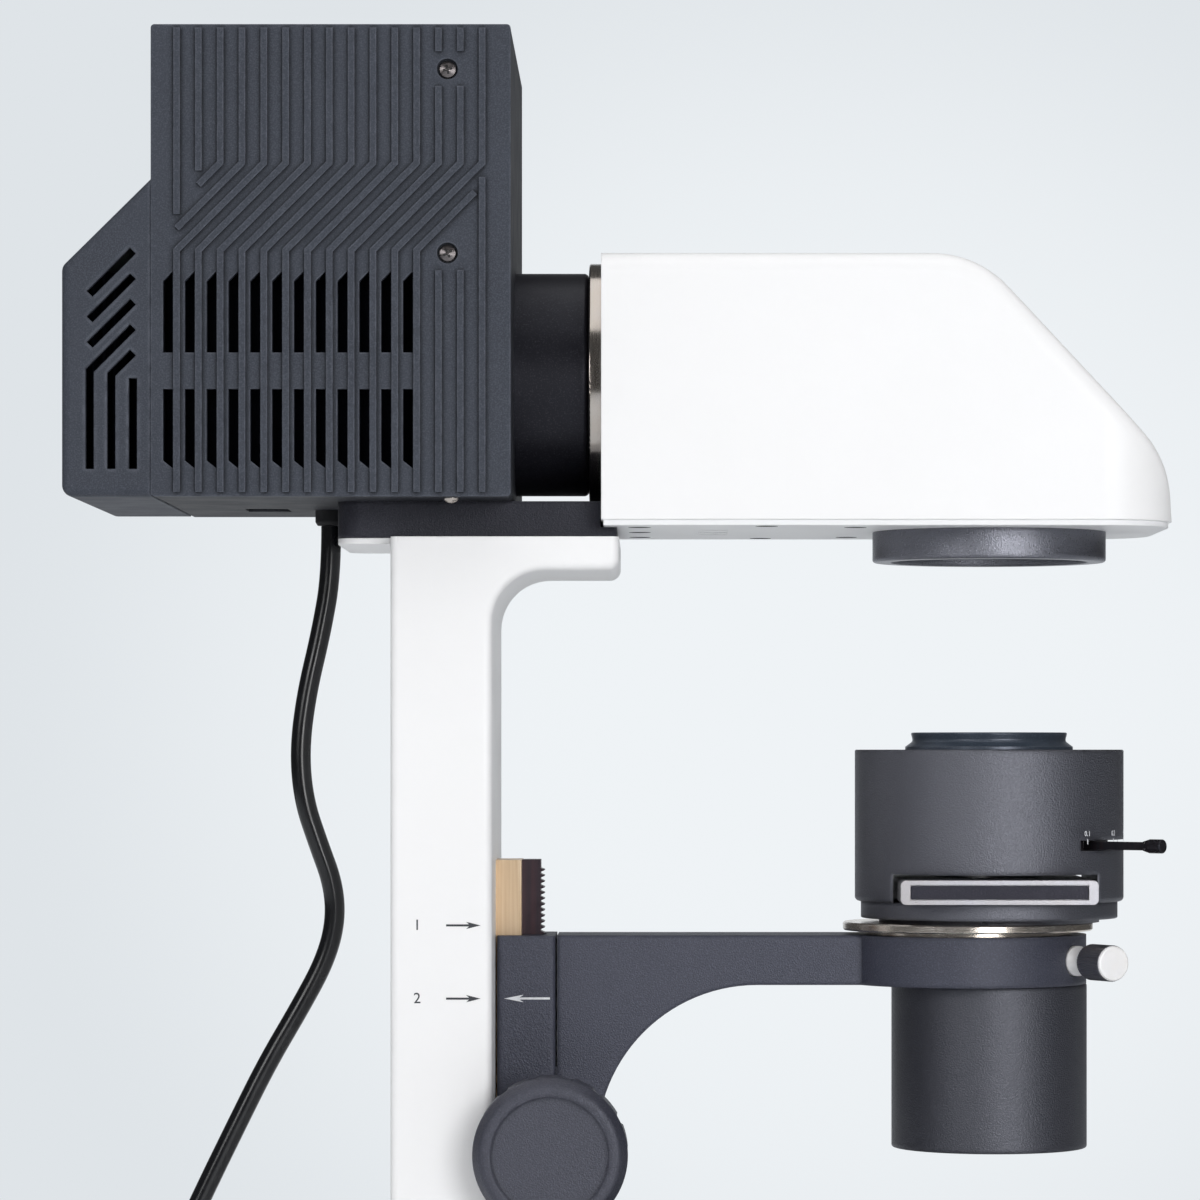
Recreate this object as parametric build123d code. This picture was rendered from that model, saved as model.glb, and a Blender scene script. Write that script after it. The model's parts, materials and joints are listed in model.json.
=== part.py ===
"""Inverted microscope with a transmitted-light pillar, in millimetres.

The stand rests on the XY plane with +Z up. The user sits on the +X side, so the
lamp house hangs out to -X and the side seen in a right-hand side view faces -Y.
Every X below is measured from the optical axis. The finished pieces are shifted
along X at the end, so that the origin lies under the middle of the whole instrument.
"""

import math
import os

from build123d import *

# Fits
FIT = 0.1  # pieces that slip together and stay put, per side
RUN = 0.05  # shafts that turn in a bore, per side
SLIDE = 0.3  # faces that pass each other without touching

# Stand
STAND_REAR = -195.0
STAND_FRONT = 205.0
BASE_HALF = 88.0
BASE_CORNER = 28.0
BASE_TOP = 52.0
BASE_EDGE = 7.0
TOWER_HALF = 68.0
TOWER_EDGE = 6.0
TOWER_TOP = 188.0
BAY_REAR = -86.0
BAY_FRONT = 62.0
BAY_FLOOR = 62.0
BAY_ROUND = 16.0
FOOT_HEIGHT = 6.0
FOOT_RADIUS = 13.0
FOOT_INSET = 26.0
COVER_THICK = 3.0
COVER_INSET = 4.0

# Stage
STAGE_THICK = 12.0
STAGE_HALF_X = 108.0
STAGE_HALF_Y = 115.0
STAGE_CORNER = 14.0
INSERT_RADIUS = 55.0
INSERT_THICK = 3.0
INSERT_LEDGE = 3.0

# Pillar
COLUMN_REAR = -162.4
COLUMN_DEPTH = 27.1
COLUMN_HALF = 42.0
COLUMN_EDGE = 2.2
COLUMN_HEAD_REACH = 33.8
COLUMN_HEAD_THICK = 9.0
COLUMN_HEAD_ROUND = 14.0
COLUMN_FOOT_REACH = 19.0
COLUMN_FOOT_THICK = 12.0
COLUMN_FOOT_ROUND = 8.0
TONGUE_THICK = 1.6
BRACKET_REAR = -177.3
BRACKET_HALF = 31.5
BRACKET_THICK = 9.9
BRACKET_CORNER = 6.0
BRACKET_LIP = 4.4

# Condenser, from its front lens upwards
WORKING_DISTANCE = 72.0
TUBE_RADIUS = 26.8
TUBE_LENGTH = 45.0
TUBE_WALL = 3.0
RING_THICK = 13.5
RING_RADIUS = 32.5
RING_OFFSET = 5.85  # the carrier ring lies this far behind the optical axis
FLANGE_RADIUS = 34.3
FLANGE_THICK = 2.3
FLANGE_GAP = 1.1
NECK_RADIUS = 20.0
COLLAR_RADIUS = 35.2
COLLAR_HEIGHT = 4.6
BODY_RADIUS = 36.85
BODY_HEIGHT = 41.5
BODY_WALL = 4.0
LIGHT_RADIUS = 14.0
TOP_RING_RADIUS = 21.5
TOP_RING_FOOT = 23.0
TOP_RING_HEIGHT = 4.7
SLIDER_WIDTH = 52.8
SLIDER_THICK = 6.6
SLIDER_LENGTH = 118.0
SLIDER_PITCH = 36.0  # from the open window to the one with the ring
SLIDER_WINDOW = 15.0
SLIDER_FRAME = 1.3
SLOT_HEADROOM = 1.2
IRIS_LEVEL = 15.6  # height of the lever above the floor of the slider's slot
IRIS_THICK = 2.2
LEVER_ANGLE = -40.0
LEVER_WIDTH = 3.0
LEVER_REACH = 57.5
LEVER_GRIP = 6.2
LEVER_GRIP_RADIUS = 1.9
LEVER_SWEEP = 52.0  # half angle of the lever's slot
CLAMP_X = 22.2
CLAMP_ANGLE = 27.0  # between the clamp screw and the -Y direction
CLAMP_DEPTH = 6.0
CLAMP_SHANK = 2.4
CLAMP_COLLAR = 4.1
CLAMP_KNOB = 4.7
CLAMP_KNOB_LENGTH = 12.0

# Carrier on its rack
ARM_HALF = 13.0
ARM_ROUND = 43.6
ARM_ROUND_X = -64.0
CARRIER_HALF = 16.0
CARRIER_BOTTOM = 250.0
CARRIER_JOINT_X = -118.7
CARRIER_JOINT_GAP = 0.5
GUIDE_DEPTH = 7.0
GUIDE_HALF = 9.0
GUIDE_DOVETAIL = 2.0
RACK_RISE = 20.5  # how far guide and rack stand above the carrier
RACK_HALF = 4.0
RACK_DEPTH = 6.3
RACK_MODULE = 0.5
PINION_TEETH = 12
TOOTH_BACKLASH = 0.2
TOOTH_TIP_TRIM = 0.1
PINION_LEVEL = 274.3
PINION_SHAFT = 2.2
BEARING_RADIUS = 8.0
KNOB_RADIUS = 20.5
KNOB_THICK = 18.0
KNOB_FACE = 15.8
KNOB_FLUTES = 14
KNOB_FLUTE_DEPTH = 0.7
DRAG_CAP_RADIUS = 12.5  # cap at the far end of the shaft that sets its drag
DRAG_CAP_FLOOR = 3.0  # over the end of the shaft

# Lamp head above the specimen
FIELD_GAP = 46.7
FIELD_RING_HEIGHT = 8.3
FIELD_RING_RADIUS = 32.0
FIELD_LENS_RADIUS = 27.0
FIELD_LENS_RECESS = 3.4
FIELD_LENS_THICK = 4.5
HEAD_REAR = -106.2
HEAD_FRONT = 47.2
HEAD_HEIGHT = 71.3
HEAD_HALF = 44.0
HEAD_WALL = 3.0
HEAD_NOSE_ROUND = 20.0
HEAD_EDGE = 5.0
HEAD_BROW_X = -5.9
HEAD_CHIN = 16.0  # height of the nearly upright front below the slope
HEAD_FRONT_LEAN = 1.4  # how far that front leans back over its height
HEAD_NOSE_REACH = 0.5  # how far the round nose would run past the front
HEAD_PROFILE_ROUND = 28.0
HEAD_PLATE = 1.5
HEAD_PLATE_INSET = 0.6
HEAD_SCREW_RADIUS = 3.0
HEAD_SCREW_X = (-96.0, -62.0, -38.0)  # rows of screws from the rear
HEAD_SCREW_Y = (30.0, 37.0, 30.0)  # half distance across each row
PLATE_SLOT_X = -80.0
PLATE_SLOT_LENGTH = 8.0
PLATE_SLOT_WIDTH = 3.0
PLATE_SLOT_PITCH = 14.0
LIGHT_LEVEL = 39.0  # height of the lamp's beam above the bottom of the head
MIRROR_HALF = 30.0
MIRROR_LENGTH = 62.0
MIRROR_THICK = 6.0

# Lamp house
LAMP_REAR = -224.6
LAMP_FRONT = -129.9
LAMP_HEIGHT = 124.2
LAMP_HALF = 57.0
LAMP_WALL = 2.5
COVER_RIM = 2.5
COVER_EDGE = 1.0
RIB_FIRST = 6.9
RIB_PITCH = 5.74
RIB_COUNT = 15
RIB_WIDTH = 1.8
RIB_HEIGHT = 0.9
RIB_BEND = 36.6  # down from the top edge to the upper bend of the ribs
RIB_SHIFT_COUNT = 4  # pitches that a rib moves sideways on its slope
RIB_STOP = 3.7  # gap left between a rib's end and the slope under it
VENT_COUNT = 12
VENT_WIDTH = 2.6
VENT_OFFSET = 2.35
VENT_ROWS = ((65.0, 86.4), (96.0, 116.9))
LAMP_SCREW_X = 78.1
LAMP_SCREW_DROPS = (11.8, 60.2)
LAMP_SCREW_RECESS = 2.75
LAMP_SCREW_HEAD = 2.3
BOSS_LENGTH = 8.0
FLOOR_SLOT_INSET = 19.0
FLOOR_SLOT_Y = 10.0
FLOOR_SLOT_WIDTH = 12.0
FLOOR_SLOT_LENGTH = 16.0
HOOD_DEPTH = 23.7
HOOD_HALF = 56.5
HOOD_DROP = 40.1
HOOD_SLOPE = 23.4
HOOD_EDGE = 3.0
HOOD_WALL = 2.2
HOOD_SLOT = 2.2
COLLECTOR_RADIUS = 30.5
COLLECTOR_BORE = 26.0
COLLECTOR_FLANGE = 33.2
COLLECTOR_FLANGE_THICK = 3.6
COLLECTOR_LENS_THICK = 7.0
BEAM_RADIUS = 24.0
SOCKET_X = -178.0
SOCKET_SIZE = 26.0
BULB_RADIUS = 6.0
BULB_LENGTH = 30.0

# Lead from the lamp house to the stand
LEAD_RADIUS = 2.8
GLAND_RADIUS = 4.4
GLAND_LENGTH = 4.2
PLUG_LEVEL = 92.0
PLUG_Y = 20.0
PLUG_X = -208.0
PLUG_RADIUS = 7.0
PLUG_BOOT = 4.4
PLUG_RISE = 20.0
PLUG_SHOULDER = 9.0  # where the boot starts to taper
PLUG_FLARE = 1.4

# Nosepiece under the stage
TURRET_TILT = 10.0
TURRET_PITCH_RADIUS = 25.0
TURRET_RADIUS = 40.0
TURRET_THICK = 16.0
OBJECTIVE_SEAT = 135.0
OBJECTIVE_BOSS = 13.0
OBJECTIVES = {
    "objective_low": (38.0, 9.0),
    "objective_medium": (42.0, 7.0),
    "objective_high": (45.0, 5.5),
    "objective_highest": (45.0, 4.0),
}
OBJECTIVE_BARREL = 12.0
CARRIAGE_HALF = 30.0
CARRIAGE_BOTTOM = 84.0
CARRIAGE_FRONT = 21.0
RAIL_HALF = 14.0
RAIL_DEPTH = 5.0
TURRET_PIVOT = 8.0

# Focus drive
FOCUS_X = 30.0
FOCUS_LEVEL = 36.0
COARSE_RADIUS = 26.0
COARSE_THICK = 17.0
COARSE_SLEEVE = 8.0
COARSE_SLEEVE_LENGTH = 26.0
FINE_RADIUS = 17.0
FINE_THICK = 16.0
FINE_SHAFT = 5.0
FOCUS_FLUTES = 24

# Eyepieces on the sloping seat
TUBE_ANGLE = 45.0
SEAT_X = 130.0
SEAT_Z = 199.0
SEAT_HALF = 23.0
VIEW_RING_RADIUS = 22.0
VIEW_RING = 8.0
VIEW_HALF = 46.0
VIEW_DEPTH = 25.0
VIEW_HEIGHT = 36.0
PIVOT_RADIUS = 5.0
PRISM_THICK = 15.6
PRISM_DISC = 23.5
PRISM_HALF = 20.0
PRISM_OUTER = 50.0
PRISM_ROUND = 10.0
PRISM_EDGE = 1.0
EYE_HALF = 32.0
EYE_TUBE_RADIUS = 15.5
EYE_TUBE_LENGTH = 30.0
EYE_BARREL_RADIUS = 11.6
EYE_BARREL_LENGTH = 18.0
EYE_RADIUS = 17.0
EYE_LENGTH = 34.0
EYE_CUP_RADIUS = 18.5
EYE_CUP_LENGTH = 7.0

# Controls on the stand
SWITCH_X = -140.0
SWITCH_LEVEL = 32.0
SWITCH_LENGTH = 19.0
SWITCH_HEIGHT = 12.0
SWITCH_PROUD = 2.2
SWITCH_DEPTH = 7.0
SWITCH_PIN = 1.5
DIAL_X = 118.0
DIAL_LEVEL = 32.0
DIAL_RADIUS = 13.0
DIAL_THICK = 9.0
DIAL_SHAFT = 4.0
PATH_X = 88.0
PATH_LEVEL = 120.0
PATH_ROD = 3.5
PATH_DEPTH = 26.0
PATH_KNOB = 7.5
PATH_KNOB_LENGTH = 10.0

# Levels that follow from the sizes above
BASE_BOTTOM = FOOT_HEIGHT + COVER_THICK
STAGE_TOP = TOWER_TOP + STAGE_THICK
TUBE_BOTTOM = STAGE_TOP + WORKING_DISTANCE
RING_BOTTOM = TUBE_BOTTOM + TUBE_LENGTH
RING_TOP = RING_BOTTOM + RING_THICK
FLANGE_BOTTOM = RING_TOP + FLANGE_GAP
COLLAR_BOTTOM = FLANGE_BOTTOM + FLANGE_THICK + FLANGE_GAP
BODY_BOTTOM = COLLAR_BOTTOM + COLLAR_HEIGHT
BODY_TOP = BODY_BOTTOM + BODY_HEIGHT
IRIS_BOTTOM = BODY_BOTTOM + IRIS_LEVEL - IRIS_THICK / 2
FIELD_BOTTOM = BODY_TOP + TOP_RING_HEIGHT + FIELD_GAP
HEAD_PLATE_BOTTOM = FIELD_BOTTOM + FIELD_RING_HEIGHT
HEAD_BOTTOM = HEAD_PLATE_BOTTOM + HEAD_PLATE
HEAD_TOP = HEAD_BOTTOM + HEAD_HEIGHT
BEAM_LEVEL = HEAD_BOTTOM + LIGHT_LEVEL
COLUMN_FRONT = COLUMN_REAR + COLUMN_DEPTH
COLUMN_TOP = HEAD_BOTTOM - BRACKET_LIP
BRACKET_TOP = COLUMN_TOP + BRACKET_THICK
LAMP_BOTTOM = BRACKET_TOP
LAMP_TOP = LAMP_BOTTOM + LAMP_HEIGHT
HOOD_REAR = LAMP_REAR - HOOD_DEPTH
COVER_INNER = LAMP_HALF - COVER_RIM - LAMP_WALL  # half width of the lamp house's frame
PITCH_RADIUS = RACK_MODULE * PINION_TEETH / 2
TOOTH_PITCH = math.pi * RACK_MODULE
GUIDE_FRONT = COLUMN_FRONT + GUIDE_DEPTH
RACK_PITCH_X = GUIDE_FRONT + RACK_DEPTH - RACK_MODULE
PINION_X = RACK_PITCH_X + PITCH_RADIUS
KNOB_INNER = COLUMN_HALF + SLIDE * 2
GUIDE_BOTTOM = CARRIER_BOTTOM + RACK_MODULE
GUIDE_TOP = RING_TOP + RACK_RISE
SLOT_TOP = BODY_BOTTOM + SLIDER_THICK + SLOT_HEADROOM
EYE_ROOT = VIEW_RING + VIEW_HEIGHT + SLIDE + PRISM_THICK
EYE_END = EYE_ROOT + EYE_TUBE_LENGTH + EYE_LENGTH + EYE_CUP_LENGTH
SLOPE_COS = math.cos(math.radians(TUBE_ANGLE))
SLOPE_SIN = math.sin(math.radians(TUBE_ANGLE))
FRONT_REACH = SEAT_X + EYE_END * SLOPE_COS + EYE_CUP_RADIUS * SLOPE_SIN
AXIS_SHIFT = -(HOOD_REAR + FRONT_REACH) / 2

# Route of the lead, chosen by hand from the gland down to the plug
LEAD_ROUTE = (
    (-182.2, 20.0, LAMP_BOTTOM - GLAND_LENGTH),
    (-182.2, 20.0, 430.0),
    (-185.0, 20.2, 414.0),
    (-189.0, 19.6, 397.0),
    (-191.0, 19.2, 381.0),
    (-189.8, 19.0, 367.0),
    (-185.8, 19.4, 355.0),
    (-181.6, 20.0, 343.5),
    (-181.0, 20.4, 333.0),
    (-184.0, 20.6, 322.0),
    (-191.0, 20.2, 309.0),
    (-199.8, 19.6, 294.0),
    (-208.0, 19.0, 277.5),
    (-217.5, 18.5, 258.0),
    (-226.5, 18.0, 238.5),
    (-233.0, 17.6, 218.0),
    (-235.0, 17.4, 197.0),
    (-231.5, 17.8, 177.0),
    (-223.5, 18.6, 158.5),
    (-214.5, 19.4, 142.0),
    (PLUG_X, PLUG_Y, 127.0),
    (PLUG_X, PLUG_Y, PLUG_LEVEL + PLUG_RISE),
)

# Frames that tilted pieces are drawn in
VIEW = Plane(origin=(SEAT_X, 0, SEAT_Z), x_dir=(0, 1, 0), z_dir=(SLOPE_COS, 0, SLOPE_SIN))
TILT_COS = math.cos(math.radians(TURRET_TILT))
TILT_SIN = math.sin(math.radians(TURRET_TILT))
TURRET = Plane(
    origin=(-TURRET_PITCH_RADIUS * TILT_COS, 0, OBJECTIVE_SEAT - TURRET_PITCH_RADIUS * TILT_SIN),
    x_dir=(TILT_COS, 0, TILT_SIN),
    z_dir=(-TILT_SIN, 0, TILT_COS),
)


def outline(corners, plane):
    """Closed face on a plane, from corners (u, v) or (u, v, corner radius)."""
    points = [plane.from_local_coords((c[0], c[1], 0)) for c in corners]
    radii = [c[2] if len(c) > 2 else 0 for c in corners]
    if max(radii) == 0:
        return make_face(Polyline(*points, close=True))
    return make_face(FilletPolyline(*points, radius=radii, close=True))


def prism_y(corners, y0, y1):
    """Side profile of (x, z) corners, carried from y0 to y1."""
    plane = Plane(origin=(0, y0, 0), x_dir=(1, 0, 0), z_dir=(0, -1, 0))
    return extrude(outline(corners, plane), amount=y1 - y0, dir=(0, 1, 0))


def prism_z(corners, z0, z1):
    """Plan of (x, y) corners, carried from z0 up to z1."""
    return extrude(outline(corners, Plane.XY.offset(z0)), amount=z1 - z0, dir=(0, 0, 1))


def block(x0, x1, half, z0, z1):
    """Plain block, as wide on either side of the middle plane."""
    return prism_z([(x0, -half), (x1, -half), (x1, half), (x0, half)], z0, z1)


def rod(start, direction, radius, length):
    """Round bar from a point, along a direction."""
    place = Plane(origin=start, z_dir=direction)
    return place * Cylinder(radius, length, align=(Align.CENTER, Align.CENTER, Align.MIN))


def upright(radius, z0, z1, x=0.0, y=0.0):
    """Round bar along Z."""
    return rod((x, y, z0), (0, 0, 1), radius, z1 - z0)


def turned(corners, place):
    """Lathe part: (radius, height) corners, or (radius, height, round), spun about a frame's Z."""
    return place * revolve(outline(corners, Plane.XZ), Axis.Z)


def across(x, z):
    """Frame on the middle plane whose Z runs along +Y."""
    return Plane(origin=(x, 0, z), x_dir=(1, 0, 0), z_dir=(0, 1, 0))


def both_sides(piece):
    """A piece on the +Y side with its mirror image on the other side."""
    return Compound([piece, mirror(piece, about=Plane.XZ)])


def band(points, width):
    """Corners of a strip of one width that follows (x, z) points with mitred bends."""
    units = []
    for (x0, z0), (x1, z1) in zip(points, points[1:]):
        length = math.hypot(x1 - x0, z1 - z0)
        units.append((-(z1 - z0) / length, (x1 - x0) / length))
    left, right = [], []
    for i, (x, z) in enumerate(points):
        a, b = units[max(i - 1, 0)], units[min(i, len(units) - 1)]
        grow = width / 2 / (1 + a[0] * b[0] + a[1] * b[1])
        dx, dz = (a[0] + b[0]) * grow, (a[1] + b[1]) * grow
        left.append((x + dx, z + dz))
        right.append((x - dx, z - dz))
    return left + right[::-1]


def fluted(blank, place, radius, count, depth, z0, z1):
    """A turned knob with shallow finger flutes round its rim."""
    cutter_radius = math.pi * radius / count / 1.6
    away = radius + cutter_radius - depth
    for i in range(count):
        angle = 2 * math.pi * i / count
        spot = Pos(away * math.cos(angle), away * math.sin(angle), z0)
        cutter = Cylinder(cutter_radius, z1 - z0, align=(Align.CENTER, Align.CENTER, Align.MIN))
        blank = blank - place * (spot * cutter)
    return blank


# Stand


def stand_body():
    """Painted casting: a broad base with a rear tower, an open bay and a front tower."""
    seat_rise = SEAT_HALF * SLOPE_SIN
    toe = BASE_TOP - BASE_EDGE
    side = [
        (STAND_REAR, BASE_BOTTOM),
        (STAND_REAR, TOWER_TOP, TOWER_EDGE),
        (BAY_REAR, TOWER_TOP),
        (BAY_REAR, BAY_FLOOR, BAY_ROUND),
        (BAY_FRONT, BAY_FLOOR, BAY_ROUND),
        (BAY_FRONT, TOWER_TOP),
        (STAGE_HALF_X + SLIDE, TOWER_TOP),
        (STAGE_HALF_X + SLIDE, SEAT_Z + seat_rise),
        (SEAT_X - SEAT_HALF * SLOPE_COS, SEAT_Z + seat_rise, 2.0),
        (SEAT_X + SEAT_HALF * SLOPE_COS, SEAT_Z - seat_rise, 8.0),
        (STAND_FRONT - BASE_CORNER, toe, BASE_CORNER),
        (STAND_FRONT - BASE_CORNER / 2, BASE_BOTTOM),
    ]
    towers = prism_y(side, -TOWER_HALF, TOWER_HALF)
    rims = [e for e in towers.edges() if abs(abs(e.center().Y) - TOWER_HALF) < FIT]
    rims = [e for e in rims if e.center().Z > BASE_TOP and e.center().X < STAGE_HALF_X]
    towers = fillet(rims, TOWER_EDGE / 2)
    plan = [
        (STAND_REAR, -BASE_HALF, BASE_CORNER),
        (STAND_FRONT, -BASE_HALF, BASE_CORNER),
        (STAND_FRONT, BASE_HALF, BASE_CORNER),
        (STAND_REAR, BASE_HALF, BASE_CORNER),
    ]
    base = prism_z(plan, BASE_BOTTOM, BASE_TOP)
    base = fillet(base.faces().sort_by(Axis.Z)[-1].edges(), BASE_EDGE)
    body = base + towers
    body += block(BAY_REAR - FIT, BAY_REAR + RAIL_DEPTH, RAIL_HALF, BAY_FLOOR, TOWER_TOP - FOOT_HEIGHT)
    body -= upright(LIGHT_RADIUS, BASE_TOP, BAY_FLOOR)
    body -= rod((FOCUS_X, -BASE_HALF, FOCUS_LEVEL), (0, 1, 0), COARSE_SLEEVE + RUN, 2 * BASE_HALF)
    body -= rod((DIAL_X, -BASE_HALF, DIAL_LEVEL), (0, 1, 0), DIAL_SHAFT + RUN, DIAL_RADIUS)
    body -= rod((PATH_X, -TOWER_HALF, PATH_LEVEL), (0, 1, 0), PATH_ROD + RUN, PATH_DEPTH)
    body -= switch_pocket()
    return body


def switch_pocket():
    """Recess for the rocker with the two holes of its pivot."""
    grow = SLIDE * 2
    half = SWITCH_LENGTH / 2 + grow
    plan = [
        (SWITCH_X - half, -BASE_HALF - FIT),
        (SWITCH_X + half, -BASE_HALF - FIT),
        (SWITCH_X + half, -BASE_HALF + SWITCH_DEPTH),
        (SWITCH_X - half, -BASE_HALF + SWITCH_DEPTH),
    ]
    tall = SWITCH_HEIGHT / 2 + SLIDE
    pocket = prism_z(plan, SWITCH_LEVEL - tall, SWITCH_LEVEL + tall)
    return pocket + switch_pin(SWITCH_PIN + RUN, SWITCH_HEIGHT / 2 + SWITCH_PIN * 2 + FIT)


def switch_pin(radius, reach):
    """Upright pivot of the rocker."""
    y = -BASE_HALF + SWITCH_PIN
    return upright(radius, SWITCH_LEVEL - reach, SWITCH_LEVEL + reach, SWITCH_X, y)


def power_switch():
    """Rocker with two faces that meet in a shallow valley."""
    half = SWITCH_LENGTH / 2
    face = -BASE_HALF - SWITCH_PROUD
    plan = [
        (SWITCH_X - half, face, 0.6),
        (SWITCH_X, face + SWITCH_PROUD / 2),
        (SWITCH_X + half, face, 0.6),
        (SWITCH_X + half, -BASE_HALF + SWITCH_PIN * 2),
        (SWITCH_X - half, -BASE_HALF + SWITCH_PIN * 2),
    ]
    rocker = prism_z(plan, SWITCH_LEVEL - SWITCH_HEIGHT / 2, SWITCH_LEVEL + SWITCH_HEIGHT / 2)
    return rocker + switch_pin(SWITCH_PIN, SWITCH_HEIGHT / 2 + SWITCH_PIN * 2)


def base_cover():
    """Sheet steel cover that closes the base from below."""
    inset = BASE_CORNER - COVER_INSET
    x0, x1, half = STAND_REAR + COVER_INSET, STAND_FRONT - COVER_INSET, BASE_HALF - COVER_INSET
    plan = [(x0, -half, inset), (x1, -half, inset), (x1, half, inset), (x0, half, inset)]
    return prism_z(plan, FOOT_HEIGHT, FOOT_HEIGHT + COVER_THICK)


def feet():
    """Four tapered rubber feet."""
    profile = [(0, 0), (FOOT_RADIUS - 2, 0, 0.8), (FOOT_RADIUS, FOOT_HEIGHT), (0, FOOT_HEIGHT)]
    pads = []
    for x in (STAND_REAR + FOOT_INSET, STAND_FRONT - FOOT_INSET):
        for y in (-BASE_HALF + FOOT_INSET, BASE_HALF - FOOT_INSET):
            pads.append(turned(profile, Plane(origin=(x, y, 0))))
    return Compound(pads)


def stage_plate():
    """Flat stage with a round opening and a ledge for its insert."""
    x, y, r = STAGE_HALF_X, STAGE_HALF_Y, STAGE_CORNER
    plate = prism_z([(-x, -y, r), (x, -y, r), (x, y, r), (-x, y, r)], TOWER_TOP, STAGE_TOP)
    plate = chamfer(plate.faces().sort_by(Axis.Z)[-1].edges(), 0.8)
    plate -= upright(INSERT_RADIUS - INSERT_LEDGE, TOWER_TOP, STAGE_TOP)
    return plate - upright(INSERT_RADIUS, STAGE_TOP - INSERT_THICK, STAGE_TOP)


def stage_insert():
    """Clear round insert, level with the stage."""
    return upright(INSERT_RADIUS - FIT, STAGE_TOP - INSERT_THICK, STAGE_TOP)


# Pillar


def column():
    """Flat painted pillar with a broad foot, and a head that leans forward under the bracket."""
    head_front = COLUMN_FRONT + COLUMN_HEAD_REACH
    foot_top = TOWER_TOP + COLUMN_FOOT_THICK
    side = [
        (COLUMN_REAR - COLUMN_FOOT_REACH, TOWER_TOP),
        (COLUMN_REAR - COLUMN_FOOT_REACH, foot_top, COLUMN_EDGE + 0.8),
        (COLUMN_REAR, foot_top, COLUMN_FOOT_ROUND),
        (COLUMN_REAR, COLUMN_TOP),
        (head_front, COLUMN_TOP),
        (head_front, COLUMN_TOP - COLUMN_HEAD_THICK, COLUMN_EDGE + 0.8),
        (COLUMN_FRONT, COLUMN_TOP - COLUMN_HEAD_THICK, COLUMN_HEAD_ROUND),
        (COLUMN_FRONT, foot_top, COLUMN_FOOT_ROUND),
        (COLUMN_FRONT + COLUMN_FOOT_REACH, foot_top, COLUMN_EDGE + 0.8),
        (COLUMN_FRONT + COLUMN_FOOT_REACH, TOWER_TOP),
    ]
    pillar = prism_y(side, -COLUMN_HALF, COLUMN_HALF)
    rims = [e for e in pillar.edges() if abs(abs(e.center().Y) - COLUMN_HALF) < FIT]
    rims = [e for e in rims if TOWER_TOP + FIT < e.center().Z < COLUMN_TOP - FIT]
    pillar = fillet(rims, COLUMN_EDGE)
    tongue = [
        (BRACKET_REAR, -BRACKET_HALF, BRACKET_CORNER),
        (COLUMN_REAR + FIT, -BRACKET_HALF),
        (COLUMN_REAR + FIT, BRACKET_HALF),
        (BRACKET_REAR, BRACKET_HALF, BRACKET_CORNER),
    ]
    return pillar + prism_z(tongue, COLUMN_TOP - TONGUE_THICK, COLUMN_TOP)


def bracket_plate():
    """Black plate on the pillar that carries the lamp house and the rear of the lamp head."""
    front = HEAD_REAR - SLIDE
    plan = [
        (BRACKET_REAR, -BRACKET_HALF, BRACKET_CORNER),
        (front, -BRACKET_HALF),
        (front, BRACKET_HALF),
        (BRACKET_REAR, BRACKET_HALF, BRACKET_CORNER),
    ]
    plate = prism_z(plan, COLUMN_TOP, BRACKET_TOP)
    lip = block(front - FIT, front + BRACKET_LIP, BRACKET_HALF, COLUMN_TOP, HEAD_PLATE_BOTTOM)
    return plate + lip


def guide_bar():
    """Brass dovetail on the front of the pillar."""
    flare = GUIDE_HALF + GUIDE_DOVETAIL
    x0, x1 = COLUMN_FRONT, GUIDE_FRONT
    plan = [(x0, -GUIDE_HALF), (x1, -flare), (x1, flare), (x0, GUIDE_HALF)]
    return prism_z(plan, GUIDE_BOTTOM, GUIDE_TOP)


def rack():
    """Steel rack on the dovetail, with straight-sided teeth."""
    tip = RACK_PITCH_X + RACK_MODULE - TOOTH_TIP_TRIM
    root = RACK_PITCH_X - RACK_MODULE * 1.25
    lean = RACK_MODULE * math.tan(math.radians(20.0))
    half = TOOTH_PITCH / 4 - TOOTH_BACKLASH / 2
    side = [(GUIDE_FRONT, GUIDE_BOTTOM)]
    low = math.ceil((GUIDE_BOTTOM - PINION_LEVEL) / TOOTH_PITCH) + 1
    high = math.floor((GUIDE_TOP - PINION_LEVEL) / TOOTH_PITCH) - 1
    side.append((root, GUIDE_BOTTOM))
    for i in range(low, high + 1):
        z = PINION_LEVEL + i * TOOTH_PITCH
        side += [(root, z - half - lean * 1.25), (tip, z - half + lean)]
        side += [(tip, z + half - lean), (root, z + half + lean * 1.25)]
    side += [(root, GUIDE_TOP), (GUIDE_FRONT, GUIDE_TOP)]
    return prism_y(side, -RACK_HALF, RACK_HALF)


# Condenser carrier


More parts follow.
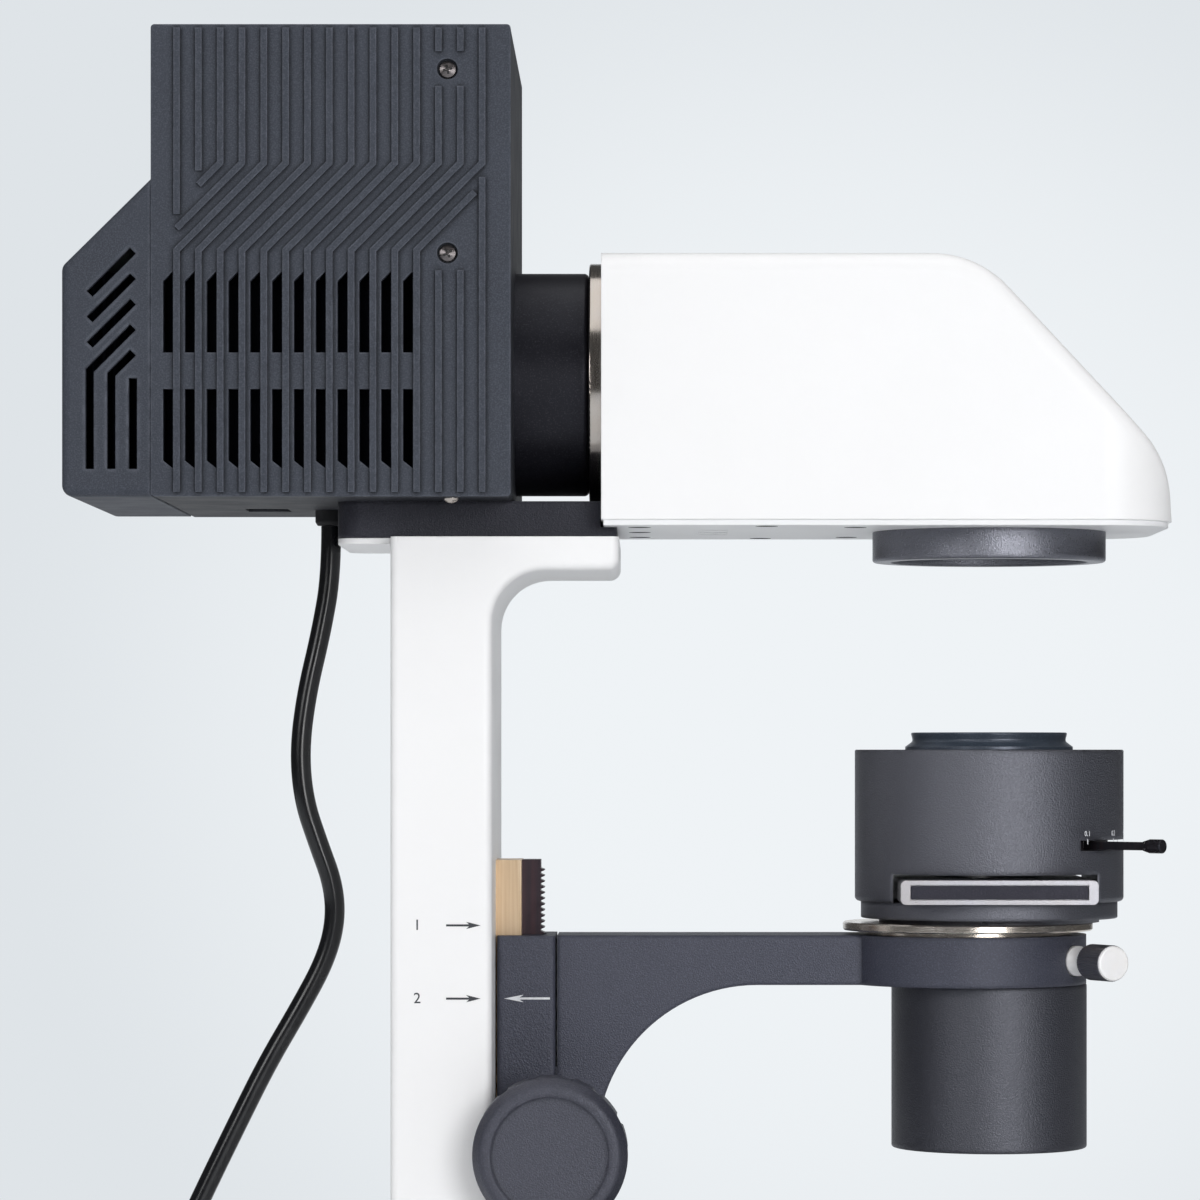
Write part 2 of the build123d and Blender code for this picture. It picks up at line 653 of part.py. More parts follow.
def carrier_channel():
    """Room in the carrier for the dovetail, the rack, and the pinion with its shaft."""
    flare = GUIDE_HALF + GUIDE_DOVETAIL + SLIDE
    x0, x1 = COLUMN_FRONT, GUIDE_FRONT + SLIDE
    plan = [(x0, -GUIDE_HALF - SLIDE), (x1, -flare), (x1, flare), (x0, GUIDE_HALF + SLIDE)]
    top = GUIDE_TOP
    channel = prism_z(plan, CARRIER_BOTTOM - FIT, top)
    rack_front = RACK_PITCH_X + RACK_MODULE + SLIDE
    channel += block(GUIDE_FRONT, rack_front, RACK_HALF + SLIDE, CARRIER_BOTTOM - FIT, top)
    room = PITCH_RADIUS + RACK_MODULE + SLIDE
    spot = (PINION_X, -RACK_HALF - SLIDE, PINION_LEVEL)
    channel += rod(spot, (0, 1, 0), room, 2 * (RACK_HALF + SLIDE))
    through = (PINION_X, -KNOB_INNER, PINION_LEVEL)
    return channel + rod(through, (0, 1, 0), PINION_SHAFT + RUN, 2 * KNOB_INNER)


def carrier_block():
    """Black slide block that rides on the dovetail."""
    back = COLUMN_FRONT + SLIDE * 2
    front = CARRIER_JOINT_X - CARRIER_JOINT_GAP / 2
    body = block(back, front, CARRIER_HALF, CARRIER_BOTTOM, RING_TOP)
    body = chamfer(body.edges().filter_by(Axis.Z), 0.8)
    foot_front = CARRIER_JOINT_X + CARRIER_JOINT_GAP / 2
    body += block(front - FIT, foot_front, ARM_HALF, CARRIER_BOTTOM, PINION_LEVEL + KNOB_RADIUS)
    reach = KNOB_INNER - SLIDE
    bearing = rod((PINION_X, -reach, PINION_LEVEL), (0, 1, 0), BEARING_RADIUS, 2 * reach)
    body += bearing - block(foot_front, 0, ARM_HALF + FIT, CARRIER_BOTTOM, RING_TOP)
    return body - carrier_channel()


def carrier_arm():
    """Curved arm from the slide block to the ring that holds the condenser."""
    joint = CARRIER_JOINT_X + CARRIER_JOINT_GAP / 2
    heel = ARM_ROUND_X - ARM_ROUND
    hollow = min(ARM_ROUND, (RING_BOTTOM - CARRIER_BOTTOM) * 0.9)
    ring_x = -RING_OFFSET
    side = [
        (joint, CARRIER_BOTTOM),
        (joint, RING_TOP),
        (ring_x, RING_TOP),
        (ring_x, RING_BOTTOM),
        (heel, RING_BOTTOM, hollow),
        (heel, CARRIER_BOTTOM),
    ]
    arm = prism_y(side, -ARM_HALF, ARM_HALF)
    arm = fillet(arm.faces().sort_by(Axis.Z)[-1].edges().filter_by(Axis.X), 1.0)
    arm += upright(RING_RADIUS, RING_BOTTOM, RING_TOP, ring_x)
    arm -= upright(NECK_RADIUS + FIT, RING_BOTTOM, RING_TOP)
    arm -= clamp_hole()
    return arm - carrier_channel()


def clamp_direction():
    """Unit vector along the clamp screw, away from the condenser."""
    angle = math.radians(CLAMP_ANGLE)
    return Vector(math.sin(angle), -math.cos(angle), 0)


def clamp_frame():
    """Frame where the clamp screw enters the ring's wall."""
    y = -math.sqrt(RING_RADIUS**2 - (CLAMP_X + RING_OFFSET) ** 2)
    level = (RING_BOTTOM + RING_TOP) / 2
    return Plane(origin=(CLAMP_X, y, level), x_dir=(0, 0, 1), z_dir=clamp_direction())


def clamp_hole():
    """Hole of the clamp screw, with a spot face for its collar."""
    shank = CLAMP_SHANK + RUN
    spot = CLAMP_COLLAR + SLIDE
    reach = CLAMP_COLLAR * 2
    corners = [(0, -CLAMP_DEPTH - FIT), (shank, -CLAMP_DEPTH - FIT), (shank, -SLIDE)]
    corners += [(spot, -SLIDE), (spot, reach), (0, reach)]
    return turned(corners, clamp_frame())


def clamp_screw():
    """Thumb screw with a bright spool and a knurled grip."""
    waist = CLAMP_COLLAR * 0.6
    knob_start = CLAMP_COLLAR * 1.9
    knob_end = knob_start + CLAMP_KNOB_LENGTH
    corners = [
        (0, -CLAMP_DEPTH),
        (CLAMP_SHANK, -CLAMP_DEPTH),
        (CLAMP_SHANK, 0),
        (CLAMP_COLLAR, 0, 0.4),
        (CLAMP_COLLAR, CLAMP_COLLAR / 2, 0.6),
        (waist, CLAMP_COLLAR, 1.0),
        (waist, knob_start),
        (CLAMP_KNOB, knob_start, 0.6),
        (CLAMP_KNOB, knob_end, 0.6),
        (0, knob_end),
    ]
    return turned(corners, clamp_frame())


def pinion_shaft():
    """Shaft with pinion teeth in its middle, out to both knobs."""
    reach = KNOB_INNER + KNOB_THICK * 0.5
    shaft = rod((PINION_X, -reach, PINION_LEVEL), (0, 1, 0), PINION_SHAFT, 2 * reach)
    root = PITCH_RADIUS - RACK_MODULE * 1.15
    tip = PITCH_RADIUS + RACK_MODULE - TOOTH_TIP_TRIM
    foot_half = (TOOTH_PITCH / 4 - TOOTH_BACKLASH / 2) * 1.05
    tip_half = foot_half - RACK_MODULE * 0.55
    half = RACK_HALF - FIT
    frame = Plane(origin=(PINION_X, -half, PINION_LEVEL), x_dir=(1, 0, 0), z_dir=(0, 1, 0))
    tooth = [(root - 0.4, -foot_half - 0.1), (PITCH_RADIUS, -foot_half), (tip, -tip_half)]
    tooth += [(u, -v) for u, v in reversed(tooth)]
    gear = frame * Cylinder(root, 2 * half, align=(Align.CENTER, Align.CENTER, Align.MIN))
    for i in range(PINION_TEETH):
        turn = 180.0 + (i + 0.5) * 360.0 / PINION_TEETH
        one = extrude(outline(tooth, Plane.XY), amount=2 * half)
        gear += frame * (Rot(0, 0, turn) * one)
    return shaft + gear


def condenser_knobs():
    """Black knob with a raised rim round a sunken face, and the smaller drag cap at the shaft's far end."""
    inner = KNOB_INNER
    outer = inner + KNOB_THICK
    bore = PINION_SHAFT + FIT
    bottom = inner + KNOB_THICK * 0.6
    corners = [
        (bore, inner),
        (KNOB_RADIUS * 0.7, inner),
        (KNOB_RADIUS, inner + 2.0, 1.0),
        (KNOB_RADIUS, outer - 3.0),
        (KNOB_RADIUS - 2.2, outer, 2.0),
        (KNOB_FACE, outer, 0.3),
        (KNOB_FACE - 0.6, outer - 0.9),
        (0, outer - 0.9),
        (0, bottom),
        (bore, bottom),
    ]
    place = across(PINION_X, PINION_LEVEL)
    knob = turned(corners, place)
    knob = fluted(knob, place, KNOB_RADIUS, KNOB_FLUTES, KNOB_FLUTE_DEPTH, inner - 1, outer - 4.0)
    end = bottom + DRAG_CAP_FLOOR
    cap_corners = [
        (bore, inner),
        (DRAG_CAP_RADIUS - 1.0, inner),
        (DRAG_CAP_RADIUS, inner + 1.0),
        (DRAG_CAP_RADIUS, end - 1.0),
        (DRAG_CAP_RADIUS - 1.0, end),
        (0, end),
        (0, bottom),
        (bore, bottom),
    ]
    cap = turned(cap_corners, place)
    cap = fluted(cap, place, DRAG_CAP_RADIUS, KNOB_FLUTES, KNOB_FLUTE_DEPTH, inner + 2.0, end + 1.0)
    return Compound([mirror(knob, about=Plane.XZ), cap])


# Condenser


def condenser_tube():
    """Long lower barrel with its front lens seat."""
    bore = TUBE_RADIUS - TUBE_WALL
    corners = [
        (bore, TUBE_BOTTOM),
        (TUBE_RADIUS, TUBE_BOTTOM, 0.6),
        (TUBE_RADIUS, RING_BOTTOM, 0.6),
        (LIGHT_RADIUS, RING_BOTTOM),
        (LIGHT_RADIUS, RING_BOTTOM - TUBE_WALL),
        (bore, RING_BOTTOM - TUBE_WALL),
    ]
    return turned(corners, Plane.XY)


def condenser_lens():
    """Front lens, a little inside the barrel's mouth."""
    radius = TUBE_RADIUS - TUBE_WALL - FIT
    low = TUBE_BOTTOM + TUBE_WALL
    corners = [(0, low - 1.5), (radius * 0.6, low - 1.0), (radius, low), (radius, low + 5.0), (0, low + 5.0)]
    return turned(corners, Plane.XY)


def condenser_flange():
    """Bright dovetail disc between the carrier ring and the condenser."""
    x = -RING_OFFSET
    disc = upright(FLANGE_RADIUS, FLANGE_BOTTOM, FLANGE_BOTTOM + FLANGE_THICK, x)
    disc = chamfer(disc.edges(), 0.4)
    disc += upright(FLANGE_RADIUS - 6.0, RING_TOP, FLANGE_BOTTOM + FIT, x)
    return disc - upright(NECK_RADIUS + FIT, RING_TOP, FLANGE_BOTTOM + FLANGE_THICK)


def condenser_base():
    """Collar under the condenser body, with the neck that drops through the carrier ring."""
    step = FLANGE_BOTTOM + FLANGE_THICK
    corners = [
        (LIGHT_RADIUS, RING_BOTTOM),
        (NECK_RADIUS, RING_BOTTOM),
        (NECK_RADIUS, step),
        (COLLAR_RADIUS - 5.0, step),
        (COLLAR_RADIUS - 5.0, COLLAR_BOTTOM),
        (COLLAR_RADIUS, COLLAR_BOTTOM, 0.4),
        (COLLAR_RADIUS, BODY_BOTTOM),
        (LIGHT_RADIUS, BODY_BOTTOM),
    ]
    return turned(corners, Plane.XY)


def lever_slot():
    """Curved slot in the condenser's wall that the iris lever sweeps through."""
    low, high = IRIS_BOTTOM - SLIDE, IRIS_BOTTOM + IRIS_THICK + SLIDE
    reach = BODY_RADIUS * 2
    sweep = math.radians(LEVER_SWEEP)
    wedge = [(0, 0), (reach * math.cos(sweep), -reach * math.sin(sweep))]
    wedge += [(reach, 0), (reach * math.cos(sweep), reach * math.sin(sweep))]
    inner = BODY_RADIUS - BODY_WALL - FIT
    ring = upright(BODY_RADIUS + 1, low, high) - upright(inner, low, high)
    return ring & prism_z(wedge, low, high)


def condenser_body():
    """Broad black drum, hollow for the iris, with a through slot for the phase slider."""
    ledge = IRIS_BOTTOM - SLIDE / 2
    cavity = BODY_RADIUS - BODY_WALL
    corners = [
        (LIGHT_RADIUS, BODY_BOTTOM),
        (BODY_RADIUS, BODY_BOTTOM, 1.2),
        (BODY_RADIUS, BODY_TOP, 0.5),
        (LIGHT_RADIUS, BODY_TOP),
        (LIGHT_RADIUS, BODY_TOP - BODY_WALL),
        (cavity, BODY_TOP - BODY_WALL),
        (cavity, ledge),
        (LIGHT_RADIUS, ledge),
    ]
    drum = turned(corners, Plane.XY)
    half = SLIDER_WIDTH / 2 + SLOT_HEADROOM
    slot = [(-half, -BODY_RADIUS), (half, -BODY_RADIUS), (half, BODY_RADIUS), (-half, BODY_RADIUS)]
    drum -= prism_z(slot, BODY_BOTTOM, SLOT_TOP)
    return drum - lever_slot()


def condenser_top_ring():
    """Low flared ring on top of the drum."""
    bore = LIGHT_RADIUS + 2.0
    top = BODY_TOP + TOP_RING_HEIGHT
    corners = [
        (LIGHT_RADIUS, BODY_TOP),
        (TOP_RING_FOOT, BODY_TOP),
        (TOP_RING_FOOT, BODY_TOP + 0.8),
        (TOP_RING_RADIUS - 0.6, BODY_TOP + TOP_RING_HEIGHT / 2, 1.0),
        (TOP_RING_RADIUS, top, 0.4),
        (bore, top),
        (bore, BODY_TOP + 1.5),
        (LIGHT_RADIUS, BODY_TOP + 1.5),
    ]
    return turned(corners, Plane.XY)


def condenser_top_lens():
    """Upper lens on the seat inside the top ring."""
    radius = LIGHT_RADIUS + 2.0 - FIT
    low = BODY_TOP + 1.5
    corners = [(0, low), (radius, low), (radius, low + 1.0), (0, low + 2.4)]
    return turned(corners, Plane.XY)


def iris_lever():
    """Iris ring inside the drum with the lever that turns it."""
    low = IRIS_BOTTOM
    outer = BODY_RADIUS - BODY_WALL - SLIDE
    ring = upright(outer, low, low + IRIS_THICK) - upright(LIGHT_RADIUS * 0.8, low, low + IRIS_THICK)
    half = LEVER_WIDTH / 2
    bar_end = LEVER_REACH - LEVER_GRIP
    root, tip = outer - 2, bar_end + 1
    bar = prism_z([(root, -half), (tip, -half), (tip, half), (root, half)], low, low + IRIS_THICK)
    grip_corners = [
        (0, bar_end),
        (LEVER_GRIP_RADIUS * 0.7, bar_end),
        (LEVER_GRIP_RADIUS, bar_end + 2.0, 0.6),
        (LEVER_GRIP_RADIUS, LEVER_REACH, 0.5),
        (0, LEVER_REACH),
    ]
    along = Plane(origin=(0, 0, low + IRIS_THICK / 2), x_dir=(0, 1, 0), z_dir=(1, 0, 0))
    lever = bar + turned(grip_corners, along)
    return ring + Rot(0, 0, LEVER_ANGLE) * lever


def slider_span():
    """Ends of the slider along Y with its open window on the optical axis."""
    return -(SLIDER_LENGTH - SLIDER_PITCH) / 2, (SLIDER_LENGTH + SLIDER_PITCH) / 2


def phase_slider():
    """Bright slider with an open window, a window for the ring and framed ends."""
    y0, y1 = slider_span()
    half, low = SLIDER_WIDTH / 2, BODY_BOTTOM + FIT
    high = BODY_BOTTOM + SLIDER_THICK
    corner = SLIDER_THICK * 0.22
    side = [(-half, low, corner), (-half, high, corner), (half, high, corner), (half, low, corner)]
    plate = prism_y(side, y0, y1)
    for y in (0.0, SLIDER_PITCH):
        plate -= upright(SLIDER_WINDOW, low, high, 0, y)
    inner = half - SLIDER_FRAME * 2
    level = (low + high) / 2
    tall = SLIDER_THICK / 2 - SLIDER_FRAME
    recess = [(-inner, level - tall), (inner, level - tall), (inner, level + tall), (-inner, level + tall)]
    for start in (y0, y1 - SLIDER_FRAME):
        plate -= prism_y(recess, start, start + SLIDER_FRAME)
    return plate


def phase_ring():
    """Glass disc with the phase ring, in the slider's second window."""
    low = BODY_BOTTOM + SLIDER_THICK / 2 - 1.0
    return upright(SLIDER_WINDOW - FIT, low, low + 2.0, 0, SLIDER_PITCH)


# Lamp head


def head_outline(wall, low, high):
    """Body of the lamp head, drawn in by a wall, between two levels."""
    rear, front, half = HEAD_REAR + wall, HEAD_FRONT - wall, HEAD_HALF - wall
    drop = HEAD_HEIGHT - HEAD_CHIN
    lean = math.atan2(drop, HEAD_FRONT - HEAD_BROW_X)
    pull = wall * math.tan(lean / 2)
    chin = HEAD_BOTTOM + HEAD_CHIN - wall * math.tan(math.pi / 4 - lean / 2)
    side = [
        (rear, low),
        (rear, high),
        (HEAD_BROW_X - pull, high, HEAD_PROFILE_ROUND - wall),
        (front - HEAD_FRONT_LEAN, chin, HEAD_PROFILE_ROUND - wall),
        (front, low),
    ]
    nose = HEAD_NOSE_ROUND - wall
    tip = front + HEAD_NOSE_REACH
    plan = [(rear, -half), (tip, -half, nose), (tip, half, nose), (rear, half)]
    return prism_y(side, -half, half) & prism_z(plan, low, high)


def head_shell():
    """White cast cover, open below, with a round nose and a sloping front."""
    shell = head_outline(0.0, HEAD_BOTTOM, HEAD_TOP)
    rims = [e for e in shell.edges() if e.center().Z > HEAD_BOTTOM + HEAD_CHIN]
    rims = [e for e in rims if e.center().X > HEAD_REAR + FIT and abs(e.center().Y) > HEAD_EDGE]
    rims = [e for e in rims if abs(e.tangent_at(0.5).Z) < 0.99]  # leaves the upright seams of the nose
    shell = fillet(rims, HEAD_EDGE)
    shell -= head_outline(HEAD_WALL, HEAD_BOTTOM - HEAD_WALL, HEAD_TOP - HEAD_WALL)
    return shell - rod((HEAD_REAR, 0, BEAM_LEVEL), (1, 0, 0), BEAM_RADIUS, HEAD_WALL)


def head_screw_spots():
    """Places of the flat screws in the head's bottom plate, as (x, y)."""
    spots = [(HEAD_SCREW_X[0], 0.0)]
    for x, y in zip(HEAD_SCREW_X, HEAD_SCREW_Y):
        spots += [(x, -y), (x, y)]
    return spots


def head_plate():
    """Metal plate that closes the lamp head from below."""
    inset = HEAD_PLATE_INSET
    rear, front, half = HEAD_REAR + inset, HEAD_FRONT - inset, HEAD_HALF - inset
    nose = HEAD_NOSE_ROUND - inset
    plan = [(rear, -half), (front, -half, nose), (front, half, nose), (rear, half)]
    plate = prism_z(plan, HEAD_PLATE_BOTTOM, HEAD_BOTTOM)
    plate -= upright(FIELD_LENS_RADIUS, HEAD_PLATE_BOTTOM, HEAD_BOTTOM)
    for x, y in head_screw_spots():
        plate -= upright(HEAD_SCREW_RADIUS + FIT, HEAD_PLATE_BOTTOM, HEAD_BOTTOM, x, y)
    x0, x1, side = PLATE_SLOT_X, PLATE_SLOT_X + PLATE_SLOT_LENGTH, PLATE_SLOT_WIDTH / 2
    for y in (-PLATE_SLOT_PITCH, 0.0, PLATE_SLOT_PITCH):
        slot = [(x0, y - side), (x1, y - side), (x1, y + side), (x0, y + side)]
        plate -= prism_z(slot, HEAD_PLATE_BOTTOM, HEAD_BOTTOM)
    return plate


def head_screws():
    """Flat screw heads, level with the bottom plate."""
    heads = [upright(HEAD_SCREW_RADIUS, HEAD_PLATE_BOTTOM, HEAD_BOTTOM, x, y) for x, y in head_screw_spots()]
    return Compound(heads)


def head_mirror():
    """Mirror at 45 degrees over the field lens, on two cheeks that stand on the bottom plate."""
    half = MIRROR_LENGTH / 2 * math.cos(math.pi / 4)
    thick = MIRROR_THICK * math.sqrt(2)
    side = [
        (-half, BEAM_LEVEL + half),
        (half, BEAM_LEVEL - half),
        (half + thick / 2, BEAM_LEVEL - half + thick / 2),
        (-half + thick / 2, BEAM_LEVEL + half + thick / 2),
    ]
    glass = prism_y(side, -MIRROR_HALF, MIRROR_HALF)
    leg = [
        (half - 1, BEAM_LEVEL - half),
        (half + thick / 2, BEAM_LEVEL - half + thick / 2),
        (half + thick / 2, HEAD_BOTTOM),
        (half - 1, HEAD_BOTTOM),
    ]
    for y in (-MIRROR_HALF, MIRROR_HALF - MIRROR_THICK):
        glass += prism_y(leg, y, y + MIRROR_THICK)
    return glass


def field_ring():
    """Black hood round the field lens."""
    corners = [
        (FIELD_LENS_RADIUS, FIELD_BOTTOM),
        (FIELD_RING_RADIUS, FIELD_BOTTOM, 0.8),
        (FIELD_RING_RADIUS, HEAD_PLATE_BOTTOM),
        (FIELD_LENS_RADIUS - 3.0, HEAD_PLATE_BOTTOM),
        (FIELD_LENS_RADIUS - 3.0, FIELD_BOTTOM + FIELD_LENS_RECESS + FIELD_LENS_THICK),
        (FIELD_LENS_RADIUS, FIELD_BOTTOM + FIELD_LENS_RECESS + FIELD_LENS_THICK),
    ]
    return turned(corners, Plane.XY)


def field_lens():
    """Field lens against its seat inside the hood."""
    low = FIELD_BOTTOM + FIELD_LENS_RECESS
    radius = FIELD_LENS_RADIUS - FIT
    high = low + FIELD_LENS_THICK
    corners = [(0, low), (radius * 0.6, low + 0.5), (radius, low + 1.5), (radius, high), (0, high)]
    return turned(corners, Plane.XY)


# Lamp house


def rib_paths():
    """Centre lines of the raised ribs as (x, z): upright, then down a slope to the rear, then upright."""
    top = LAMP_TOP - COVER_EDGE
    bottom = LAMP_BOTTOM + COVER_EDGE
    bend = LAMP_TOP - RIB_BEND
    shift = RIB_SHIFT_COUNT * RIB_PITCH
    xs = [LAMP_REAR + RIB_FIRST + i * RIB_PITCH for i in range(RIB_COUNT)]
    screws = [LAMP_TOP - drop for drop in LAMP_SCREW_DROPS]
    clear = LAMP_SCREW_RECESS + RIB_WIDTH
    beside = (RIB_COUNT - 3, RIB_COUNT - 2)  # ribs that make room for the screws
    paths = []
    for i, x in enumerate(xs):
        start = top
        if i in beside:
            paths.append([(x, top), (x, screws[0] + clear)])
            start = screws[0] - clear
        if i < RIB_SHIFT_COUNT // 2:
            ends_over = bend - (RIB_SHIFT_COUNT - 1 - 2 * i) * RIB_PITCH
            paths.append([(x, start), (x, ends_over + RIB_STOP)])
        elif i < RIB_SHIFT_COUNT:
            run = x - xs[RIB_SHIFT_COUNT - 1 - i]
            paths.append([(x, start), (x, bend), (x - run, bend - run)])
        else:
            paths.append([(x, start), (x, bend), (x - shift, bend - shift), (x - shift, bottom)])
    last = xs[-1]
    foot = last + RIB_PITCH - shift
    run = last - RIB_PITCH / 3 - foot
    paths.append([(foot + run, bend - shift + run), (foot, bend - shift), (foot, bottom)])
    for i in beside:
        paths.append([(xs[i], screws[1] - clear), (xs[i], bottom)])
    paths.append([(last, bend - RIB_STOP), (last, bottom)])
    return paths


def vent_outlines():
    """Outlines of the vents as (x, z) corners: the upper row slants at its top, the lower at its foot."""
    outlines = []
    for i in range(VENT_COUNT):
        x = LAMP_REAR + RIB_FIRST + i * RIB_PITCH - VENT_OFFSET
        left, right = x - VENT_WIDTH / 2, x + VENT_WIDTH / 2
        upper, lower = ([LAMP_TOP - drop for drop in row] for row in VENT_ROWS)
        slant, foot = upper[0] - VENT_WIDTH, lower[1] + VENT_WIDTH * 0.8
        outlines.append([(left, slant), (right, upper[0]), (right, upper[1]), (left, upper[1])])
        outlines.append([(left, lower[0]), (right, lower[0]), (right, lower[1]), (left, foot)])
    return outlines


def lamp_cover():
    """Side cover on the -Y side: a rimmed sheet with raised ribs, two rows of vents and two screw holes."""
    skin = -LAMP_HALF + LAMP_WALL
    corners = [
        (LAMP_REAR, LAMP_BOTTOM, COVER_EDGE),
        (LAMP_REAR, LAMP_TOP, COVER_EDGE),
        (LAMP_FRONT, LAMP_TOP, COVER_EDGE),
        (LAMP_FRONT, LAMP_BOTTOM, COVER_EDGE),
    ]
    cover = prism_y(corners, -LAMP_HALF, -COVER_INNER)
    inner = [
        (LAMP_REAR + COVER_RIM, LAMP_BOTTOM + COVER_RIM),
        (LAMP_REAR + COVER_RIM, LAMP_TOP - COVER_RIM),
        (LAMP_FRONT - COVER_RIM, LAMP_TOP - COVER_RIM),
        (LAMP_FRONT - COVER_RIM, LAMP_BOTTOM + COVER_RIM),
    ]
    cover -= prism_y(inner, skin, -COVER_INNER)
    ribs = [prism_y(band(path, RIB_WIDTH), -LAMP_HALF - RIB_HEIGHT, -LAMP_HALF) for path in rib_paths()]
    cover = cover + ribs
    vents = [prism_y(vent, -LAMP_HALF - RIB_HEIGHT, skin) for vent in vent_outlines()]
    cover = cover - vents
    for x, z in lamp_screw_spots():
        cover -= rod((x, -LAMP_HALF, z), (0, 1, 0), LAMP_SCREW_RECESS, LAMP_WALL - 1.0)
        cover -= rod((x, -LAMP_HALF, z), (0, 1, 0), LAMP_SCREW_HEAD * 0.6, LAMP_WALL)
    return cover


def lamp_screw_spots():
    """Places of the cover screws as (x, z)."""
    return [(LAMP_REAR + LAMP_SCREW_X, LAMP_TOP - drop) for drop in LAMP_SCREW_DROPS]


def lamp_screws():
    """Round-headed screws of both side covers."""
    screws = []
    for x, z in lamp_screw_spots():
        place = Plane(origin=(x, LAMP_HALF - LAMP_WALL + 1.0, z), x_dir=(1, 0, 0), z_dir=(0, 1, 0))
        shank = LAMP_SCREW_HEAD * 0.6 - FIT
        head = LAMP_SCREW_HEAD
        corners = [(0, -6.0), (shank, -6.0), (shank, 0), (head, 0), (head, 0.5, 0.3), (0, 1.3)]
        screw = turned(corners, place)
        screws += [screw, mirror(screw, about=Plane.XZ)]
    return Compound(screws)


def lamp_frame():
    """Square frame of the lamp house with the beam's port, a window to the hood and holes below."""
    frame = block(LAMP_REAR, LAMP_FRONT, COVER_INNER, LAMP_BOTTOM, LAMP_TOP)
    frame = chamfer(frame.edges().filter_by(Axis.Y), COVER_EDGE)
    rear, front = LAMP_REAR + LAMP_WALL, LAMP_FRONT - LAMP_WALL
    frame -= block(rear, front, COVER_INNER, LAMP_BOTTOM + LAMP_WALL, LAMP_TOP - LAMP_WALL)
    frame -= rod((LAMP_FRONT - LAMP_WALL, 0, BEAM_LEVEL), (1, 0, 0), BEAM_RADIUS, LAMP_WALL)
    low, high = LAMP_BOTTOM + SOCKET_SIZE, LAMP_TOP - HOOD_DROP - HOOD_SLOPE
    frame -= block(LAMP_REAR, LAMP_REAR + LAMP_WALL, COVER_INNER * 0.7, low, high)
    x, y, _ = LEAD_ROUTE[0]
    frame -= upright(GLAND_RADIUS - 1.0, LAMP_BOTTOM, LAMP_BOTTOM + LAMP_WALL, x, y)
    x0 = LAMP_REAR + FLOOR_SLOT_INSET
    x1, y0, y1 = x0 + FLOOR_SLOT_WIDTH, FLOOR_SLOT_Y, FLOOR_SLOT_Y + FLOOR_SLOT_LENGTH
    frame -= prism_z([(x0, y0), (x1, y0), (x1, y1), (x0, y1)], LAMP_BOTTOM, LAMP_BOTTOM + LAMP_WALL)
    for x, z in lamp_screw_spots():
        boss = screw_boss(x, z)
        frame = frame + boss + mirror(boss, about=Plane.XZ)
    return frame


def screw_boss(x, z):
    """Boss for a cover screw at the +Y side of the frame, on a web from the front wall."""
    start = COVER_INNER - BOSS_LENGTH
    boss = rod((x, start, z), (0, 1, 0), LAMP_SCREW_RECESS, BOSS_LENGTH)
    web = [(x, z - 1.2), (LAMP_FRONT - FIT, z - 1.2), (LAMP_FRONT - FIT, z + 1.2), (x, z + 1.2)]
    boss += prism_y(web, start, COVER_INNER)
    return boss - rod((x, start, z), (0, 1, 0), LAMP_SCREW_HEAD * 0.6, BOSS_LENGTH)


def hood_side(wall):
    """Side profile of the rear hood, drawn in by a wall."""
    lean = math.atan2(HOOD_SLOPE, HOOD_DEPTH)
    top = LAMP_TOP - HOOD_DROP
    rear = HOOD_REAR + wall
    return [
        (LAMP_REAR, LAMP_BOTTOM + wall),
        (LAMP_REAR, top - wall / math.cos(lean)),
        (rear, top - HOOD_SLOPE - wall * math.tan(math.pi / 4 - lean / 2)),
        (rear, LAMP_BOTTOM + wall),
    ]


def hood_slots():
    """Centre lines of the hood's slots as (x, z): three slopes, two bent slots and an upright one."""
    near, far = HOOD_REAR + HOOD_DEPTH * 0.32, HOOD_REAR + HOOD_DEPTH * 0.8
    rise = far - near
    step = HOOD_SLOT * 3.05
    top = LAMP_TOP - HOOD_DROP - HOOD_SLOPE + HOOD_SLOT * 1.8
    bottom = LAMP_BOTTOM + HOOD_EDGE * 2.4
    paths = []
    for i in range(3):
        z = top - i * step
        paths.append([(near, z - rise), (far, z)])
    for i in range(2):
        z = top - (3 + i) * step
        x = near + i * rise / 2
        bend = z - (far - x)
        paths.append([(far, z), (x, bend), (x, bottom)])
    paths.append([(far, top - 5 * step), (far, bottom)])
    return paths


def lamp_hood():
    """Hood over the rear window of the lamp house, slotted on both sides."""
    hood = prism_y(hood_side(0.0), -HOOD_HALF, HOOD_HALF)
    edges = [e for e in hood.edges() if e.center().X < LAMP_REAR - FIT]
    hood = fillet(edges, HOOD_EDGE)
    hood -= prism_y(hood_side(HOOD_WALL), -HOOD_HALF + HOOD_WALL, HOOD_HALF - HOOD_WALL)
    slots = [prism_y(band(path, HOOD_SLOT), -HOOD_HALF - 1, HOOD_HALF + 1) for path in hood_slots()]
    return hood - slots


def collector_tube():
    """Black tube from the lamp house to the lamp head."""
    start, end = LAMP_FRONT, HEAD_REAR - COLLECTOR_FLANGE_THICK
    length = end - start
    corners = [
        (COLLECTOR_BORE, 0),
        (COLLECTOR_RADIUS, 0),
        (COLLECTOR_RADIUS, length, 1.5),
        (COLLECTOR_BORE - 3.0, length),
        (COLLECTOR_BORE - 3.0, length - LAMP_WALL),
        (COLLECTOR_BORE, length - LAMP_WALL),
    ]
    return turned(corners, beam_frame(start))


def beam_frame(x):
    """Frame on the lamp's beam whose Z runs forward."""
    return Plane(origin=(x, 0, BEAM_LEVEL), x_dir=(0, 1, 0), z_dir=(1, 0, 0))


